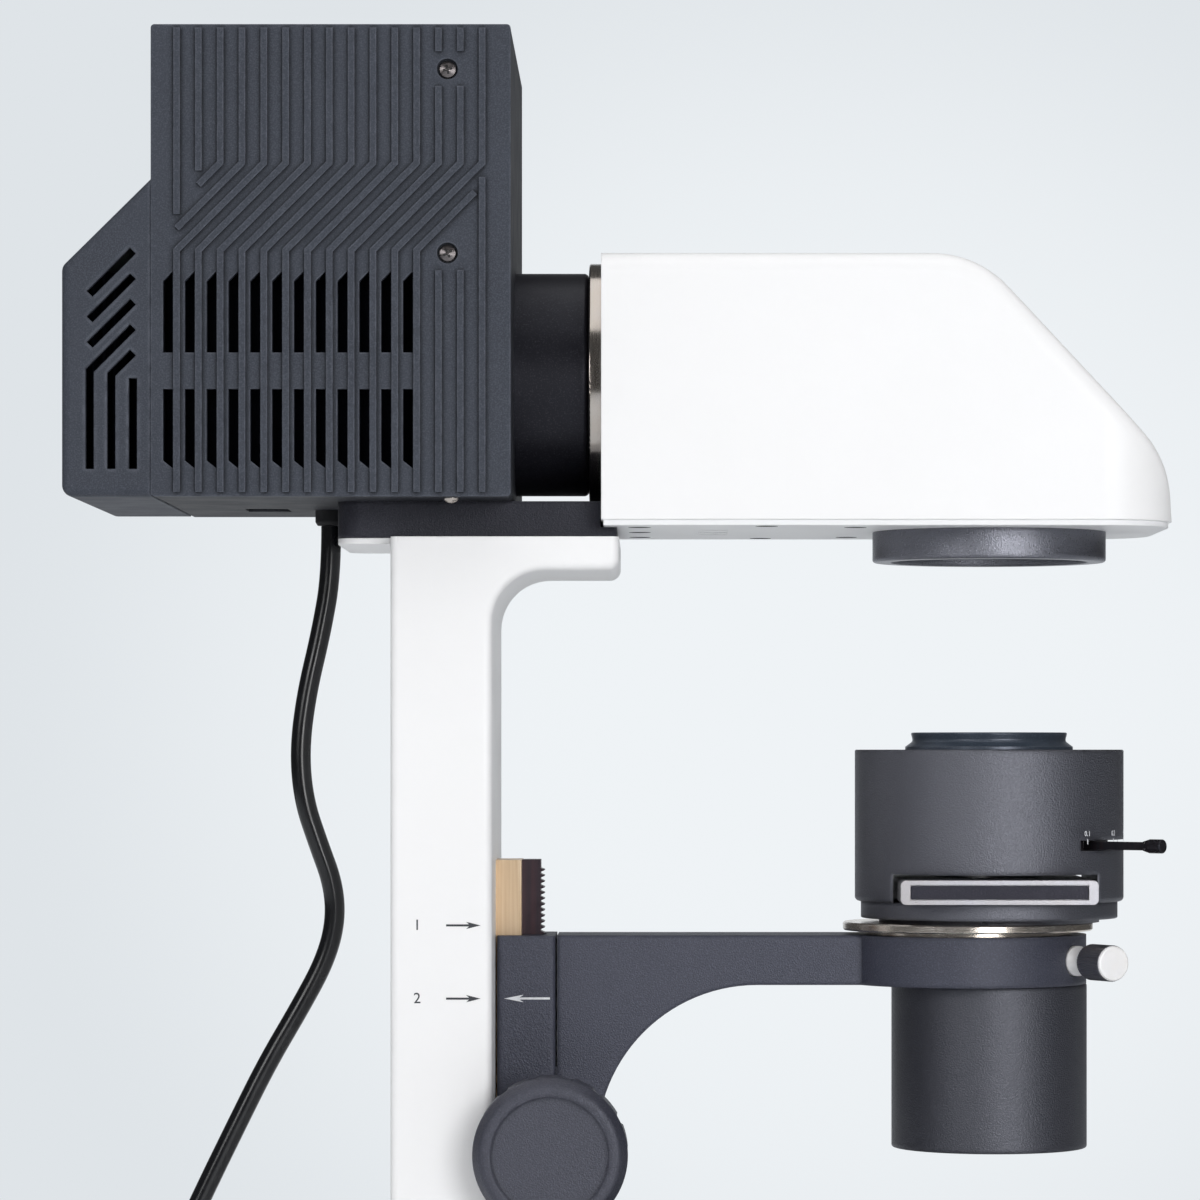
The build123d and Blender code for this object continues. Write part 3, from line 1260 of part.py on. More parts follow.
def collector_flange():
    """Bright ring that fastens the tube to the lamp head."""
    corners = [
        (COLLECTOR_BORE - 3.0, 0),
        (COLLECTOR_FLANGE, 0, 0.6),
        (COLLECTOR_FLANGE, COLLECTOR_FLANGE_THICK),
        (COLLECTOR_BORE - 3.0, COLLECTOR_FLANGE_THICK),
    ]
    return turned(corners, beam_frame(HEAD_REAR - COLLECTOR_FLANGE_THICK))


def collector_lens():
    """Thick lens at the front end of the tube."""
    radius = COLLECTOR_BORE - FIT
    back = HEAD_REAR - COLLECTOR_FLANGE_THICK - LAMP_WALL - COLLECTOR_LENS_THICK
    front = COLLECTOR_LENS_THICK
    corners = [(0, 0), (radius * 0.6, 1.2), (radius, 4.0), (radius, front), (0, front)]
    return turned(corners, beam_frame(back))


def bulb_socket():
    """Ceramic socket on the floor of the lamp house."""
    half = SOCKET_SIZE / 2
    low = LAMP_BOTTOM + LAMP_WALL
    x0, x1 = SOCKET_X - half, SOCKET_X + half
    plan = [(x0, -half, 3), (x1, -half, 3), (x1, half, 3), (x0, half, 3)]
    return prism_z(plan, low, BEAM_LEVEL - BULB_LENGTH / 2)


def halogen_bulb():
    """Small capsule bulb with its filament on the beam."""
    low = BEAM_LEVEL - BULB_LENGTH / 2
    shoulder, tip = low + BULB_LENGTH * 0.8, low + BULB_LENGTH
    corners = [(0, low), (BULB_RADIUS, low), (BULB_RADIUS, shoulder, 4.0), (0, tip)]
    return turned(corners, Plane(origin=(SOCKET_X, 0, 0)))


# Lead


def lead_radii():
    """Largest bend at each point of the lead's route that its two runs allow."""
    points = [Vector(p) for p in LEAD_ROUTE]
    runs = [b - a for a, b in zip(points, points[1:])]
    radii = []
    for a, b in zip(runs, runs[1:]):
        half_turn = math.radians(a.get_angle(b)) / 2
        radii.append(0.45 * min(a.length, b.length) / math.tan(half_turn))
    return radii


def lamp_lead():
    """Round lead of straight runs joined by tangent bends."""
    path = FilletPolyline(*LEAD_ROUTE, radius=lead_radii())
    section = Plane(origin=LEAD_ROUTE[0], z_dir=(0, 0, -1)) * Circle(LEAD_RADIUS)
    return sweep(section, path=path)


def lead_gland():
    """Bush that the lead leaves the lamp house through."""
    x, y, low = LEAD_ROUTE[0]
    neck = GLAND_RADIUS - 1.0 - FIT
    corners = [(0, low), (GLAND_RADIUS - 0.6, low), (GLAND_RADIUS, low + 1.0), (GLAND_RADIUS, LAMP_BOTTOM)]
    corners += [(neck, LAMP_BOTTOM), (neck, LAMP_BOTTOM + LAMP_WALL), (0, LAMP_BOTTOM + LAMP_WALL)]
    return turned(corners, Plane(origin=(x, y, 0)))


def lead_socket():
    """Panel socket on the rear of the stand."""
    length = STAND_REAR - PLUG_X - PLUG_RADIUS
    corners = [(0, 0), (PLUG_RADIUS + 2.5, 0), (PLUG_RADIUS + 2.0, 2.0), (PLUG_RADIUS, 2.0)]
    corners += [(PLUG_RADIUS, length), (0, length)]
    place = Plane(origin=(STAND_REAR, PLUG_Y, PLUG_LEVEL), x_dir=(0, 1, 0), z_dir=(-1, 0, 0))
    return turned(corners, place)


def lead_plug():
    """Elbow plug whose boot takes the lead from above."""
    place = Plane(origin=(PLUG_X + PLUG_RADIUS, PLUG_Y, PLUG_LEVEL), x_dir=(0, 1, 0), z_dir=(-1, 0, 0))
    corners = [(0, 0), (PLUG_RADIUS, 0), (PLUG_RADIUS, 2 * PLUG_RADIUS, 2.0), (0, 2 * PLUG_RADIUS)]
    elbow = turned(corners, place)
    top = PLUG_LEVEL + PLUG_RISE
    wide = PLUG_BOOT + PLUG_FLARE
    shoulder = PLUG_LEVEL + PLUG_SHOULDER
    boot = [(0, PLUG_LEVEL), (wide, PLUG_LEVEL), (wide, shoulder), (PLUG_BOOT, top), (0, top)]
    return elbow + turned(boot, Plane(origin=(PLUG_X, PLUG_Y, 0)))


# Nosepiece


def objective_axis(index):
    """Turns the objective over the specimen to its own seat on the turret."""
    return 360.0 * index / len(OBJECTIVES)


def turret():
    """Tilted turret with a boss for each objective."""
    cone = math.tan(math.radians(TURRET_TILT))
    rise = TURRET_PITCH_RADIUS * cone
    bore = TURRET_PIVOT + RUN
    corners = [
        (bore, -TURRET_THICK),
        (TURRET_RADIUS - 3.0, -TURRET_THICK),
        (TURRET_RADIUS, -TURRET_THICK + 3.0),
        (TURRET_RADIUS, rise - TURRET_RADIUS * cone - 3.0, 1.0),
        (0, rise - 3.0),
        (0, -3.0),
        (bore, -3.0),
    ]
    body = turned(corners, TURRET)
    axis = Axis(TURRET.origin, TURRET.z_dir)
    boss = upright(OBJECTIVE_BOSS, OBJECTIVE_SEAT - TURRET_THICK / 2, OBJECTIVE_SEAT)
    for i in range(len(OBJECTIVES)):
        body += boss.rotate(axis, objective_axis(i))
    return body


def objective(length, nose):
    """Lens barrel over the specimen, from its seat to its nose."""
    seat, r = OBJECTIVE_SEAT, OBJECTIVE_BARREL
    tip = seat + length
    corners = [
        (0, seat),
        (r - 0.8, seat),
        (r - 0.8, seat + 2.5),
        (r, seat + 2.5, 0.4),
        (r, seat + length * 0.55, 0.6),
        (r - 1.6, seat + length * 0.6),
        (r - 1.6, seat + length * 0.72, 0.6),
        (nose, tip - 2.0, 1.0),
        (nose - 0.8, tip),
        (0, tip),
    ]
    return turned(corners, Plane.XY)


def carriage_top(x):
    """Level of the carriage's sloping top, which runs parallel to the turret's underside."""
    middle = TURRET.from_local_coords((0, 0, -TURRET_THICK - SLIDE))
    return middle.Z + (x - middle.X) * TILT_SIN / TILT_COS


def focus_carriage():
    """Bracket on the stand's rail that lifts the turret."""
    rear, front = BAY_REAR + SLIDE, CARRIAGE_FRONT
    side = [
        (rear, CARRIAGE_BOTTOM),
        (rear, carriage_top(rear)),
        (front, carriage_top(front)),
        (front, CARRIAGE_BOTTOM, 12.0),
    ]
    body = prism_y(side, -CARRIAGE_HALF, CARRIAGE_HALF)
    body -= block(rear, BAY_REAR + RAIL_DEPTH + SLIDE, RAIL_HALF + SLIDE, BAY_FLOOR, TOWER_TOP)
    body -= upright(LIGHT_RADIUS * 0.7, BAY_FLOOR, TOWER_TOP)
    base = TURRET.from_local_coords((0, 0, -TURRET_THICK - 4.0))
    return body + rod(base, TURRET.z_dir, TURRET_PIVOT, TURRET_THICK - SLIDE)


# Focus drive


def coarse_knobs():
    """Pair of coarse knobs, each on a sleeve that turns in the stand."""
    inner = BASE_HALF + SLIDE
    outer = inner + COARSE_THICK
    bore = FINE_SHAFT + RUN
    corners = [
        (bore, inner - COARSE_SLEEVE_LENGTH),
        (COARSE_SLEEVE, inner - COARSE_SLEEVE_LENGTH),
        (COARSE_SLEEVE, inner),
        (COARSE_RADIUS - 1.5, inner),
        (COARSE_RADIUS, inner + 1.5),
        (COARSE_RADIUS, outer - 2.0),
        (COARSE_RADIUS - 2.0, outer, 1.0),
        (bore, outer),
    ]
    place = across(FOCUS_X, FOCUS_LEVEL)
    knob = turned(corners, place)
    return both_sides(fluted(knob, place, COARSE_RADIUS, FOCUS_FLUTES, 0.7, inner + 3.0, outer + 1.0))


def fine_drive():
    """Pair of smaller fine knobs outside the coarse ones, on the shaft through both sleeves."""
    inner = BASE_HALF + SLIDE + COARSE_THICK + SLIDE
    outer = inner + FINE_THICK
    seat = outer - FINE_THICK / 2
    bore = FINE_SHAFT + FIT
    corners = [
        (bore, inner),
        (FINE_RADIUS - 1.0, inner),
        (FINE_RADIUS, inner + 1.0),
        (FINE_RADIUS, outer - 2.0),
        (FINE_RADIUS - 2.0, outer, 1.0),
        (FINE_RADIUS * 0.7, outer, 0.3),
        (FINE_RADIUS * 0.65, outer - 0.8),
        (0, outer - 0.8),
        (0, seat),
        (bore, seat),
    ]
    knob = turned(corners, across(FOCUS_X, FOCUS_LEVEL))
    reach = seat - FIT
    shaft = rod((FOCUS_X, -reach, FOCUS_LEVEL), (0, 1, 0), FINE_SHAFT, 2 * reach)
    return Compound([shaft, knob, mirror(knob, about=Plane.XZ)])


# Viewing head, drawn with its Z along the tubes


def view_head():
    """Prism housing on the sloping seat, with the pivot of the two tubes."""
    half, deep = VIEW_HALF, VIEW_DEPTH
    ring = Cylinder(VIEW_RING_RADIUS, VIEW_RING, align=(Align.CENTER, Align.CENTER, Align.MIN))
    corners = [(-half, -deep, 9), (half, -deep, 9), (half, deep, 9), (-half, deep, 9)]
    housing = prism_z(corners, VIEW_RING, VIEW_RING + VIEW_HEIGHT)
    housing = fillet(housing.faces().sort_by(Axis.Z)[-1].edges(), 3.0)
    pin = upright(PIVOT_RADIUS - RUN, VIEW_RING, VIEW_RING + VIEW_HEIGHT + SLIDE + PRISM_THICK)
    return VIEW * (ring + housing + pin)


def eye_tube(side):
    """Half of the folding bridge with its tube; side is -1 for the -Y tube, whose disc lies below."""
    low = VIEW_RING + VIEW_HEIGHT + SLIDE
    high = low + PRISM_THICK
    middle = (low + high) / 2
    disc_low, disc_high = (low, middle - SLIDE / 2) if side < 0 else (middle + SLIDE / 2, high)
    inner = side * (PRISM_DISC + SLIDE * 4)
    outer = side * PRISM_OUTER
    disc = upright(PRISM_DISC, disc_low, disc_high)
    x0, x1 = sorted((0.0, side * (PRISM_OUTER - PRISM_ROUND)))
    half = PRISM_DISC * 0.7
    plate = prism_z([(x0, -half), (x1, -half), (x1, half), (x0, half)], disc_low, disc_high)
    x0, x1 = sorted((inner, outer))
    r0, r1 = (PRISM_ROUND, PRISM_EDGE) if side < 0 else (PRISM_EDGE, PRISM_ROUND)
    box = prism_z(
        [(x0, -PRISM_HALF, r0), (x1, -PRISM_HALF, r1), (x1, PRISM_HALF, r1), (x0, PRISM_HALF, r0)], low, high
    )
    tube = upright(EYE_TUBE_RADIUS, high, high + EYE_TUBE_LENGTH, side * EYE_HALF)
    if side < 0:
        tube -= upright(abs(inner), high, high + SLIDE)  # clears the other half's disc
    piece = disc + plate + box + tube
    piece -= upright(PIVOT_RADIUS, low, high)
    seat = high + EYE_TUBE_LENGTH - EYE_BARREL_LENGTH - FIT
    piece -= upright(EYE_BARREL_RADIUS, seat, high + EYE_TUBE_LENGTH, side * EYE_HALF)
    return VIEW * piece


def eyepiece(side):
    """Eyepiece with its barrel in the tube and a soft cup round the eye lens."""
    root = EYE_ROOT + EYE_TUBE_LENGTH
    barrel = EYE_BARREL_RADIUS - FIT
    cup = root + EYE_LENGTH
    corners = [
        (0, root - EYE_BARREL_LENGTH),
        (barrel, root - EYE_BARREL_LENGTH),
        (barrel, root),
        (EYE_RADIUS - 1.0, root),
        (EYE_RADIUS, root + 1.0),
        (EYE_RADIUS, cup - 6.0),
        (EYE_RADIUS - 1.5, cup - 4.0),
        (EYE_RADIUS - 1.5, cup),
        (EYE_CUP_RADIUS, cup + 2.0),
        (EYE_CUP_RADIUS, cup + EYE_CUP_LENGTH),
        (EYE_CUP_RADIUS - 3.0, cup + EYE_CUP_LENGTH),
        (EYE_CUP_RADIUS - 6.0, cup + EYE_CUP_LENGTH - 3.0),
        (0, cup + EYE_CUP_LENGTH - 2.4),
    ]
    return VIEW * turned(corners, Plane(origin=(side * EYE_HALF, 0, 0)))


# Small controls


def brightness_dial():
    """Dial on the stand's side with its shaft."""
    face = BASE_HALF + SLIDE
    corners = [
        (0, face - DIAL_RADIUS + 2.0),
        (DIAL_SHAFT, face - DIAL_RADIUS + 2.0),
        (DIAL_SHAFT, face),
        (DIAL_RADIUS, face),
        (DIAL_RADIUS - 1.0, face + DIAL_THICK, 1.0),
        (0, face + DIAL_THICK),
    ]
    place = Plane(origin=(DIAL_X, 0, DIAL_LEVEL), x_dir=(1, 0, 0), z_dir=(0, -1, 0))
    dial = turned(corners, place)
    return fluted(dial, place, DIAL_RADIUS, FOCUS_FLUTES, 0.7, face + 1.5, face + DIAL_THICK + 1)


def path_knob():
    """Pull knob that sends the light to the eyepieces."""
    face = TOWER_HALF + SLIDE
    corners = [
        (0, face - PATH_DEPTH + 1.0),
        (PATH_ROD, face - PATH_DEPTH + 1.0),
        (PATH_ROD, face + 1.0),
        (PATH_KNOB - 1.5, face + 1.0),
        (PATH_KNOB, face + PATH_KNOB_LENGTH - 3.0, 1.0),
        (PATH_KNOB - 1.0, face + PATH_KNOB_LENGTH, 0.8),
        (0, face + PATH_KNOB_LENGTH),
    ]
    return turned(corners, Plane(origin=(PATH_X, 0, PATH_LEVEL), x_dir=(1, 0, 0), z_dir=(0, -1, 0)))


def pieces():
    """Every piece of the microscope by its node's name."""
    cover = lamp_cover()
    made = {
        "stand_body": stand_body(),
        "base_cover": base_cover(),
        "feet": feet(),
        "stage_plate": stage_plate(),
        "stage_insert": stage_insert(),
        "column": column(),
        "bracket_plate": bracket_plate(),
        "guide_bar": guide_bar(),
        "rack": rack(),
        "carrier_block": carrier_block(),
        "carrier_arm": carrier_arm(),
        "clamp_screw": clamp_screw(),
        "pinion_shaft": pinion_shaft(),
        "condenser_knobs": condenser_knobs(),
        "condenser_tube": condenser_tube(),
        "condenser_lens": condenser_lens(),
        "condenser_flange": condenser_flange(),
        "condenser_base": condenser_base(),
        "condenser_body": condenser_body(),
        "condenser_top_ring": condenser_top_ring(),
        "condenser_top_lens": condenser_top_lens(),
        "iris_lever": iris_lever(),
        "phase_slider": phase_slider(),
        "phase_ring": phase_ring(),
        "head_shell": head_shell(),
        "head_plate": head_plate(),
        "head_screws": head_screws(),
        "head_mirror": head_mirror(),
        "field_ring": field_ring(),
        "field_lens": field_lens(),
        "lamp_cover_near": cover,
        "lamp_cover_far": mirror(cover, about=Plane.XZ),
        "lamp_screws": lamp_screws(),
        "lamp_frame": lamp_frame(),
        "lamp_hood": lamp_hood(),
        "collector_tube": collector_tube(),
        "collector_flange": collector_flange(),
        "collector_lens": collector_lens(),
        "bulb_socket": bulb_socket(),
        "halogen_bulb": halogen_bulb(),
        "lamp_lead": lamp_lead(),
        "lead_gland": lead_gland(),
        "lead_socket": lead_socket(),
        "lead_plug": lead_plug(),
        "turret": turret(),
        "focus_carriage": focus_carriage(),
        "coarse_knobs": coarse_knobs(),
        "fine_drive": fine_drive(),
        "view_head": view_head(),
        "eye_tube_near": eye_tube(-1),
        "eye_tube_far": eye_tube(1),
        "eyepiece_near": eyepiece(-1),
        "eyepiece_far": eyepiece(1),
        "power_switch": power_switch(),
        "brightness_dial": brightness_dial(),
        "path_knob": path_knob(),
    }
    axis = Axis(TURRET.origin, TURRET.z_dir)
    for i, (name, (length, nose)) in enumerate(OBJECTIVES.items()):
        made[name] = objective(length, nose).rotate(axis, objective_axis(i))
    return made


def main():
    os.makedirs("parts", exist_ok=True)
    for name, shape in pieces().items():
        export_step(Pos(AXIS_SHIFT, 0, 0) * shape, f"parts/{name}.step")
    print("bends of the lead:", " ".join(f"{r:.0f}" for r in lead_radii()))
    print(f"optical axis at x = {AXIS_SHIFT:.3f}, height {LAMP_TOP:.2f}")


if __name__ == "__main__":
    main()
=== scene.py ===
"""Looks of the inverted microscope: finishes, marks, small turned pieces, the lead and the studio.

Lengths are in metres in the shared frame, with the user on the +X side and +Z up.
"""

import itertools
import json
import math

import bmesh
import bpy
import numpy as np
from bpy.props import FloatProperty, FloatVectorProperty, IntProperty, PointerProperty
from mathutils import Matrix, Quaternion, Vector


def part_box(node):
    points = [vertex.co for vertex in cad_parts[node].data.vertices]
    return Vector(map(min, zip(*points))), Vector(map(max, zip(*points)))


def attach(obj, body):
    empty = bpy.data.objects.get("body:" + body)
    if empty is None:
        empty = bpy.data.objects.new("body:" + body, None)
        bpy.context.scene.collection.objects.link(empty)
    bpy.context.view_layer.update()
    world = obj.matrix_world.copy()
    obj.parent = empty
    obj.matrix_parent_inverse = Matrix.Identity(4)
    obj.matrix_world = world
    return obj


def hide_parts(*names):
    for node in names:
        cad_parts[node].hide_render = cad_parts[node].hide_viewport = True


bl_info = {
    "name": "Inverted Microscope Looks",
    "version": (1, 0, 0),
    "blender": (4, 5, 0),
    "location": "View3D > Sidebar > Microscope",
    "description": "Finishes, marks, lead and studio of an inverted microscope",
    "category": "Object",
}

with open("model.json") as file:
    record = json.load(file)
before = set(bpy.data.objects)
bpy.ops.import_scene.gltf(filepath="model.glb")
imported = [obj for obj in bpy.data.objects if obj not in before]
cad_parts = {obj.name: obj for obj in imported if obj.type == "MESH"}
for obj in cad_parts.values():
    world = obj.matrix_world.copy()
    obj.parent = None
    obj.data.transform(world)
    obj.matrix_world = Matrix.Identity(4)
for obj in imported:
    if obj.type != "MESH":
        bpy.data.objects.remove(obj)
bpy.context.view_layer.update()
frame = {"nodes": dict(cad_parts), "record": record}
NODES = frame["nodes"]
JOINTS = {joint["name"]: joint for joint in frame["record"]["behaviour"]["joints"]}
MM = 0.001
RIGHT = (1.0, 0.0, 0.0)
UP = (0.0, 0.0, 1.0)
AXIS_X = JOINTS["iris_turn"]["pos_m"][0]  # the optical axis stands here
SIDES = {"near": -1.0, "far": 1.0}  # signs of Y, seen from the photo's camera
COOL = (0.86, 0.88, 1.0, 1.0)  # tint of the light that black finishes throw back

# Route of the lead from its gland to its plug, measured from the optical axis, in millimetres
LEAD_ROUTE = (
    (-182.2, 20.0, 443.4), (-182.2, 20.0, 430.0), (-185.0, 20.2, 414.0),
    (-189.0, 19.6, 397.0), (-191.0, 19.2, 381.0), (-189.8, 19.0, 367.0),
    (-185.8, 19.4, 355.0), (-181.6, 20.0, 343.5), (-181.0, 20.4, 333.0),
    (-184.0, 20.6, 322.0), (-191.0, 20.2, 309.0), (-199.8, 19.6, 294.0),
    (-208.0, 19.0, 277.5), (-217.5, 18.5, 258.0), (-226.5, 18.0, 238.5),
    (-233.0, 17.6, 218.0), (-235.0, 17.4, 197.0), (-231.5, 17.8, 177.0),
    (-223.5, 18.6, 158.5), (-214.5, 19.4, 142.0), (-208.0, 20.0, 127.0),
    (-208.0, 20.0, 112.0),
)


def screen(red, green, blue):
    """Linear colour of a colour that is given as it looks on screen, from 0 to 255."""
    values = np.array([red, green, blue]) / 255.0
    return tuple(np.where(values <= 0.04045, values / 12.92, ((values + 0.055) / 1.055) ** 2.4).tolist())


def colour(label, words, default):
    """Property for a colour of the object."""
    limits = {"subtype": "COLOR", "size": 3, "min": 0, "max": 1}
    return FloatVectorProperty(name=label, description=words, default=default, **limits)


def length(label, words, default):
    """Property for a size of the object."""
    return FloatProperty(name=label, description=words, unit="LENGTH", precision=5, default=default)


def light(label, words, default, unit="POWER"):
    """Property for a lamp's power, or for a strength without a unit."""
    return FloatProperty(name=label, description=words, unit=unit, default=default, min=0)


# Settings


class FinishSettings(bpy.types.PropertyGroup):
    """Colours of the finishes."""

    enamel: colour("Enamel", "White enamel of the head and the pillar", screen(241, 241, 242))
    stand: colour("Stand", "Paint of the stand", screen(232, 233, 234))
    moulding: colour("Moulding", "Moulded plastic of the lamp house", screen(57, 61, 70))
    black: colour("Black paint", "Textured paint of the condenser carrier", screen(52, 54, 66))
    drum: colour("Drum", "Black paint of the condenser's drum and barrel", screen(28, 29, 36))
    nickel: colour("Nickel", "Plated bright pieces", screen(186, 180, 176))
    brass: colour("Brass", "Drawn brass of the dovetail", screen(250, 226, 196))
    mark: colour("Mark", "Dark marks on white paint", screen(52, 54, 60))
    light_mark: colour("Light mark", "Pale marks on black paint", screen(226, 228, 232))


class LeadSettings(bpy.types.PropertyGroup):
    """Size and colour of the lamp's lead."""

    diameter: length("Diameter", "Outside diameter of the lead", 5.6 * MM)
    span: length("Length", "Length of the lead from gland to plug", 350.0 * MM)
    sheath: colour("Sheath", "Colour of the lead's sheath", screen(15, 16, 20))


class TurningSettings(bpy.types.PropertyGroup):
    """Knurls and rings on turned pieces."""

    ridges: IntProperty(name="Ridges", description="Ridges round a small knurled grip", default=44, min=12)
    depth: length("Depth", "Height of a knurl's ridges", 0.18 * MM)
    proud: length("Proud", "How far a ring stands over the barrel that it is on", 0.12 * MM)


class MarkSettings(bpy.types.PropertyGroup):
    """Sizes of the printed marks."""

    figure: length("Figure", "Height of a printed figure", 4.0 * MM)
    film: length("Film", "Thickness of the printed ink", 0.05 * MM)
    arrow: length("Arrow", "Length of an arrow", 9.2 * MM)
    stroke: length("Stroke", "Width of an arrow's shaft", 0.55 * MM)


class StudioSettings(bpy.types.PropertyGroup):
    """Camera, light and surroundings."""

    distance: length("Distance", "From the middle plane to the camera", 1.320)
    height: length("Height", "Height of the camera over the table", 0.381)
    behind: length("Behind", "How far behind the optical axis the camera stands", 0.0932)
    lens: FloatProperty(name="Lens", description="Focal length", subtype="DISTANCE_CAMERA", default=144.0)
    backdrop: colour("Backdrop", "Pale wall and far floor", screen(223, 228, 232))
    glow: colour("Glow", "Wall behind the condenser, where it is palest", screen(239, 243, 246))
    fill: light("Fill", "Strength of the light from all round", 0.3, "NONE")
    room: light("Room", "Strength of the room in mirrors", 0.08, "NONE")
    key: light("Key", "Power of the front softbox", 15.5)
    top: light("Top", "Power of the overhead softbox", 35.0)
    side: light("Side", "Power of the softbox on the lamp house's side", 6.5)
    rear: light("Rear", "Power of the softbox behind", 14.0)


SETTINGS = {
    "microscope_finish": FinishSettings,
    "microscope_lead": LeadSettings,
    "microscope_turning": TurningSettings,
    "microscope_marks": MarkSettings,
    "microscope_studio": StudioSettings,
}


# Finishes


def add_node(tree, kind, links=(), **settings):
    """New node with its settings; links pairs an input's name or number with a socket or a value."""
    node = tree.nodes.new(kind)
    for setting, value in settings.items():
        setattr(node, setting, value)
    for key, value in links:
        if isinstance(value, bpy.types.NodeSocket):
            tree.links.new(value, node.inputs[key])
        else:
            node.inputs[key].default_value = value
    return node


def maths(tree, operation, *values):
    """Output of a math node on sockets or values."""
    return add_node(tree, "ShaderNodeMath", enumerate(values), operation=operation).outputs[0]


def seen_rays(tree, mirrored=1.0):
    """1 for a ray from the camera or through glass, a share for one off a mirror, 0 for falling light."""
    path = tree.nodes.new("ShaderNodeLightPath").outputs
    glossy = maths(tree, "MULTIPLY", path["Is Glossy Ray"], mirrored)
    direct = maths(tree, "MAXIMUM", path["Is Camera Ray"], path["Is Transmission Ray"])
    return maths(tree, "MAXIMUM", direct, glossy)


class Finish:
    """A Principled surface whose detail comes from textures on Object coordinates."""

    def __init__(self, name, base, roughness, metallic=0.0, **sockets):
        self.material = bpy.data.materials.new(name)
        self.material.use_nodes = True
        self.tree = self.material.node_tree
        self.shader = self.tree.nodes["Principled BSDF"]
        self.base = tuple(base)
        sockets.update(Base_Color=(*self.base, 1.0), Roughness=roughness, Metallic=metallic)
        for socket, value in sockets.items():
            self.shader.inputs[socket.replace("_", " ")].default_value = value
        self.coords = self.add("ShaderNodeTexCoord").outputs["Object"]

    def add(self, kind, links=(), **settings):
        """New node of this finish."""
        return add_node(self.tree, kind, links, **settings)

    def put(self, socket, value):
        """Links an output to an input of the shader."""
        self.tree.links.new(value, self.shader.inputs[socket])

    def tone(self, gain, lift=0.0):
        """Base colour times a gain, which is one number or one for each channel, and lifted."""
        return np.minimum(np.array(self.base) * gain + lift, 1.0).tolist()

    def stretched(self, stretch):
        """Object coordinates, squeezed for a grain with a direction."""
        links = [("Vector", self.coords), ("Scale", stretch)]
        return self.add("ShaderNodeMapping", links).outputs["Vector"]

    def noise(self, scale, detail, vector=None):
        """Cloudy noise with so many cells in a metre."""
        inputs = {"Vector": vector or self.coords, "Scale": scale, "Detail": detail, "Roughness": 0.55}
        return self.add("ShaderNodeTexNoise", inputs.items()).outputs["Fac"]

    def cells(self, scale):
        """Distance to the nearest point of a scattered pattern, as on a blasted mould."""
        links = [("Vector", self.coords), ("Scale", scale)]
        return self.add("ShaderNodeTexVoronoi", links).outputs["Distance"]

    def between(self, value, low, high, start=0.0, end=1.0):
        """A value carried from one range to another, held at the ends."""
        limits = {"Value": value, "From Min": low, "From Max": high, "To Min": start, "To Max": end}
        return self.add("ShaderNodeMapRange", limits.items()).outputs["Result"]

    def blend(self, factor, first, second):
        """Colour between two colours."""
        tones = [t if isinstance(t, bpy.types.NodeSocket) else (*t, 1.0) for t in (first, second)]
        return self.add("ShaderNodeMix", zip((0, 6, 7), (factor, *tones)), data_type="RGBA").outputs[2]

    def mottled(self, scale, change):
        """Base colour that drifts a little lighter and darker in soft clouds."""
        clouds = self.between(self.noise(scale, 4.0), 0.3, 0.7)
        return self.blend(clouds, self.tone(1.0 - change), self.tone(1.0 + change))

    def specked(self, scale, start, under, over):
        """Colour with fine specks of another; the start says how much of the noise they leave free."""
        return self.blend(self.between(self.noise(scale, 2.0), start, 0.72), under, over)

    def rounded(self, radius):
        """Normal that is rounded within a radius of the edges, so that they catch the light."""
        return self.add("ShaderNodeBevel", [("Radius", radius)], samples=4).outputs["Normal"]

    def creased(self, under, reach, shade):
        """Colour with painted shade, which darkens it to a share of the base where the surface is shut in
        within a reach.
        """
        shut = self.add("ShaderNodeAmbientOcclusion", [("Distance", reach)], samples=6, only_local=True)
        return self.blend(self.between(shut.outputs["AO"], 0.45, 0.95), self.tone(shade), under)

    def worn(self, under, over, rim, amount):
        """Colour with a broken pale line along the edges, where the rounded normal leaves the face's own:
        partly wear and partly painted highlight.
        """
        links = [(0, self.rounded(rim)), (1, self.add("ShaderNodeNewGeometry").outputs["Normal"])]
        turned = self.add("ShaderNodeVectorMath", links, operation="DOT_PRODUCT").outputs["Value"]
        line = self.between(turned, 0.995, 0.93, 0.0, amount)
        broken = self.between(self.noise(260.0, 4.0), 0.4, 0.6, 0.25, 1.0)
        return self.blend(maths(self.tree, "MULTIPLY", line, broken), under, over)

    def surface(self, tone, sheen, edge=0.0, grain=None):
        """The material with a colour, a sheen, softened edges and a grain.

        sheen is a texture and the roughness at its ends. grain is a texture, its height in metres
        and its strength, and it lies on edges that are rounded within a radius.
        """
        self.put("Base Color", tone)
        texture, smooth, rough = sheen
        self.put("Roughness", self.between(texture, 0.25, 0.75, smooth, rough))
        if grain:
            links = [("Normal", self.rounded(edge))] if edge else []
            links += zip(("Height", "Distance", "Strength"), grain)
            self.put("Normal", self.add("ShaderNodeBump", links).outputs["Normal"])
        return self.material


def enamel(name, base):
    """Stoved enamel: smooth, with a faint orange peel and slightly duller patches."""
    finish = Finish(name, base, 0.4, Specular_IOR_Level=0.3)
    sheen = (finish.noise(38.0, 5.0), 0.34, 0.48)
    peel = (finish.noise(620.0, 2.0), 0.012 * MM, 1.0)
    return finish.surface(finish.mottled(14.0, 0.01), sheen, 0.6 * MM, peel)


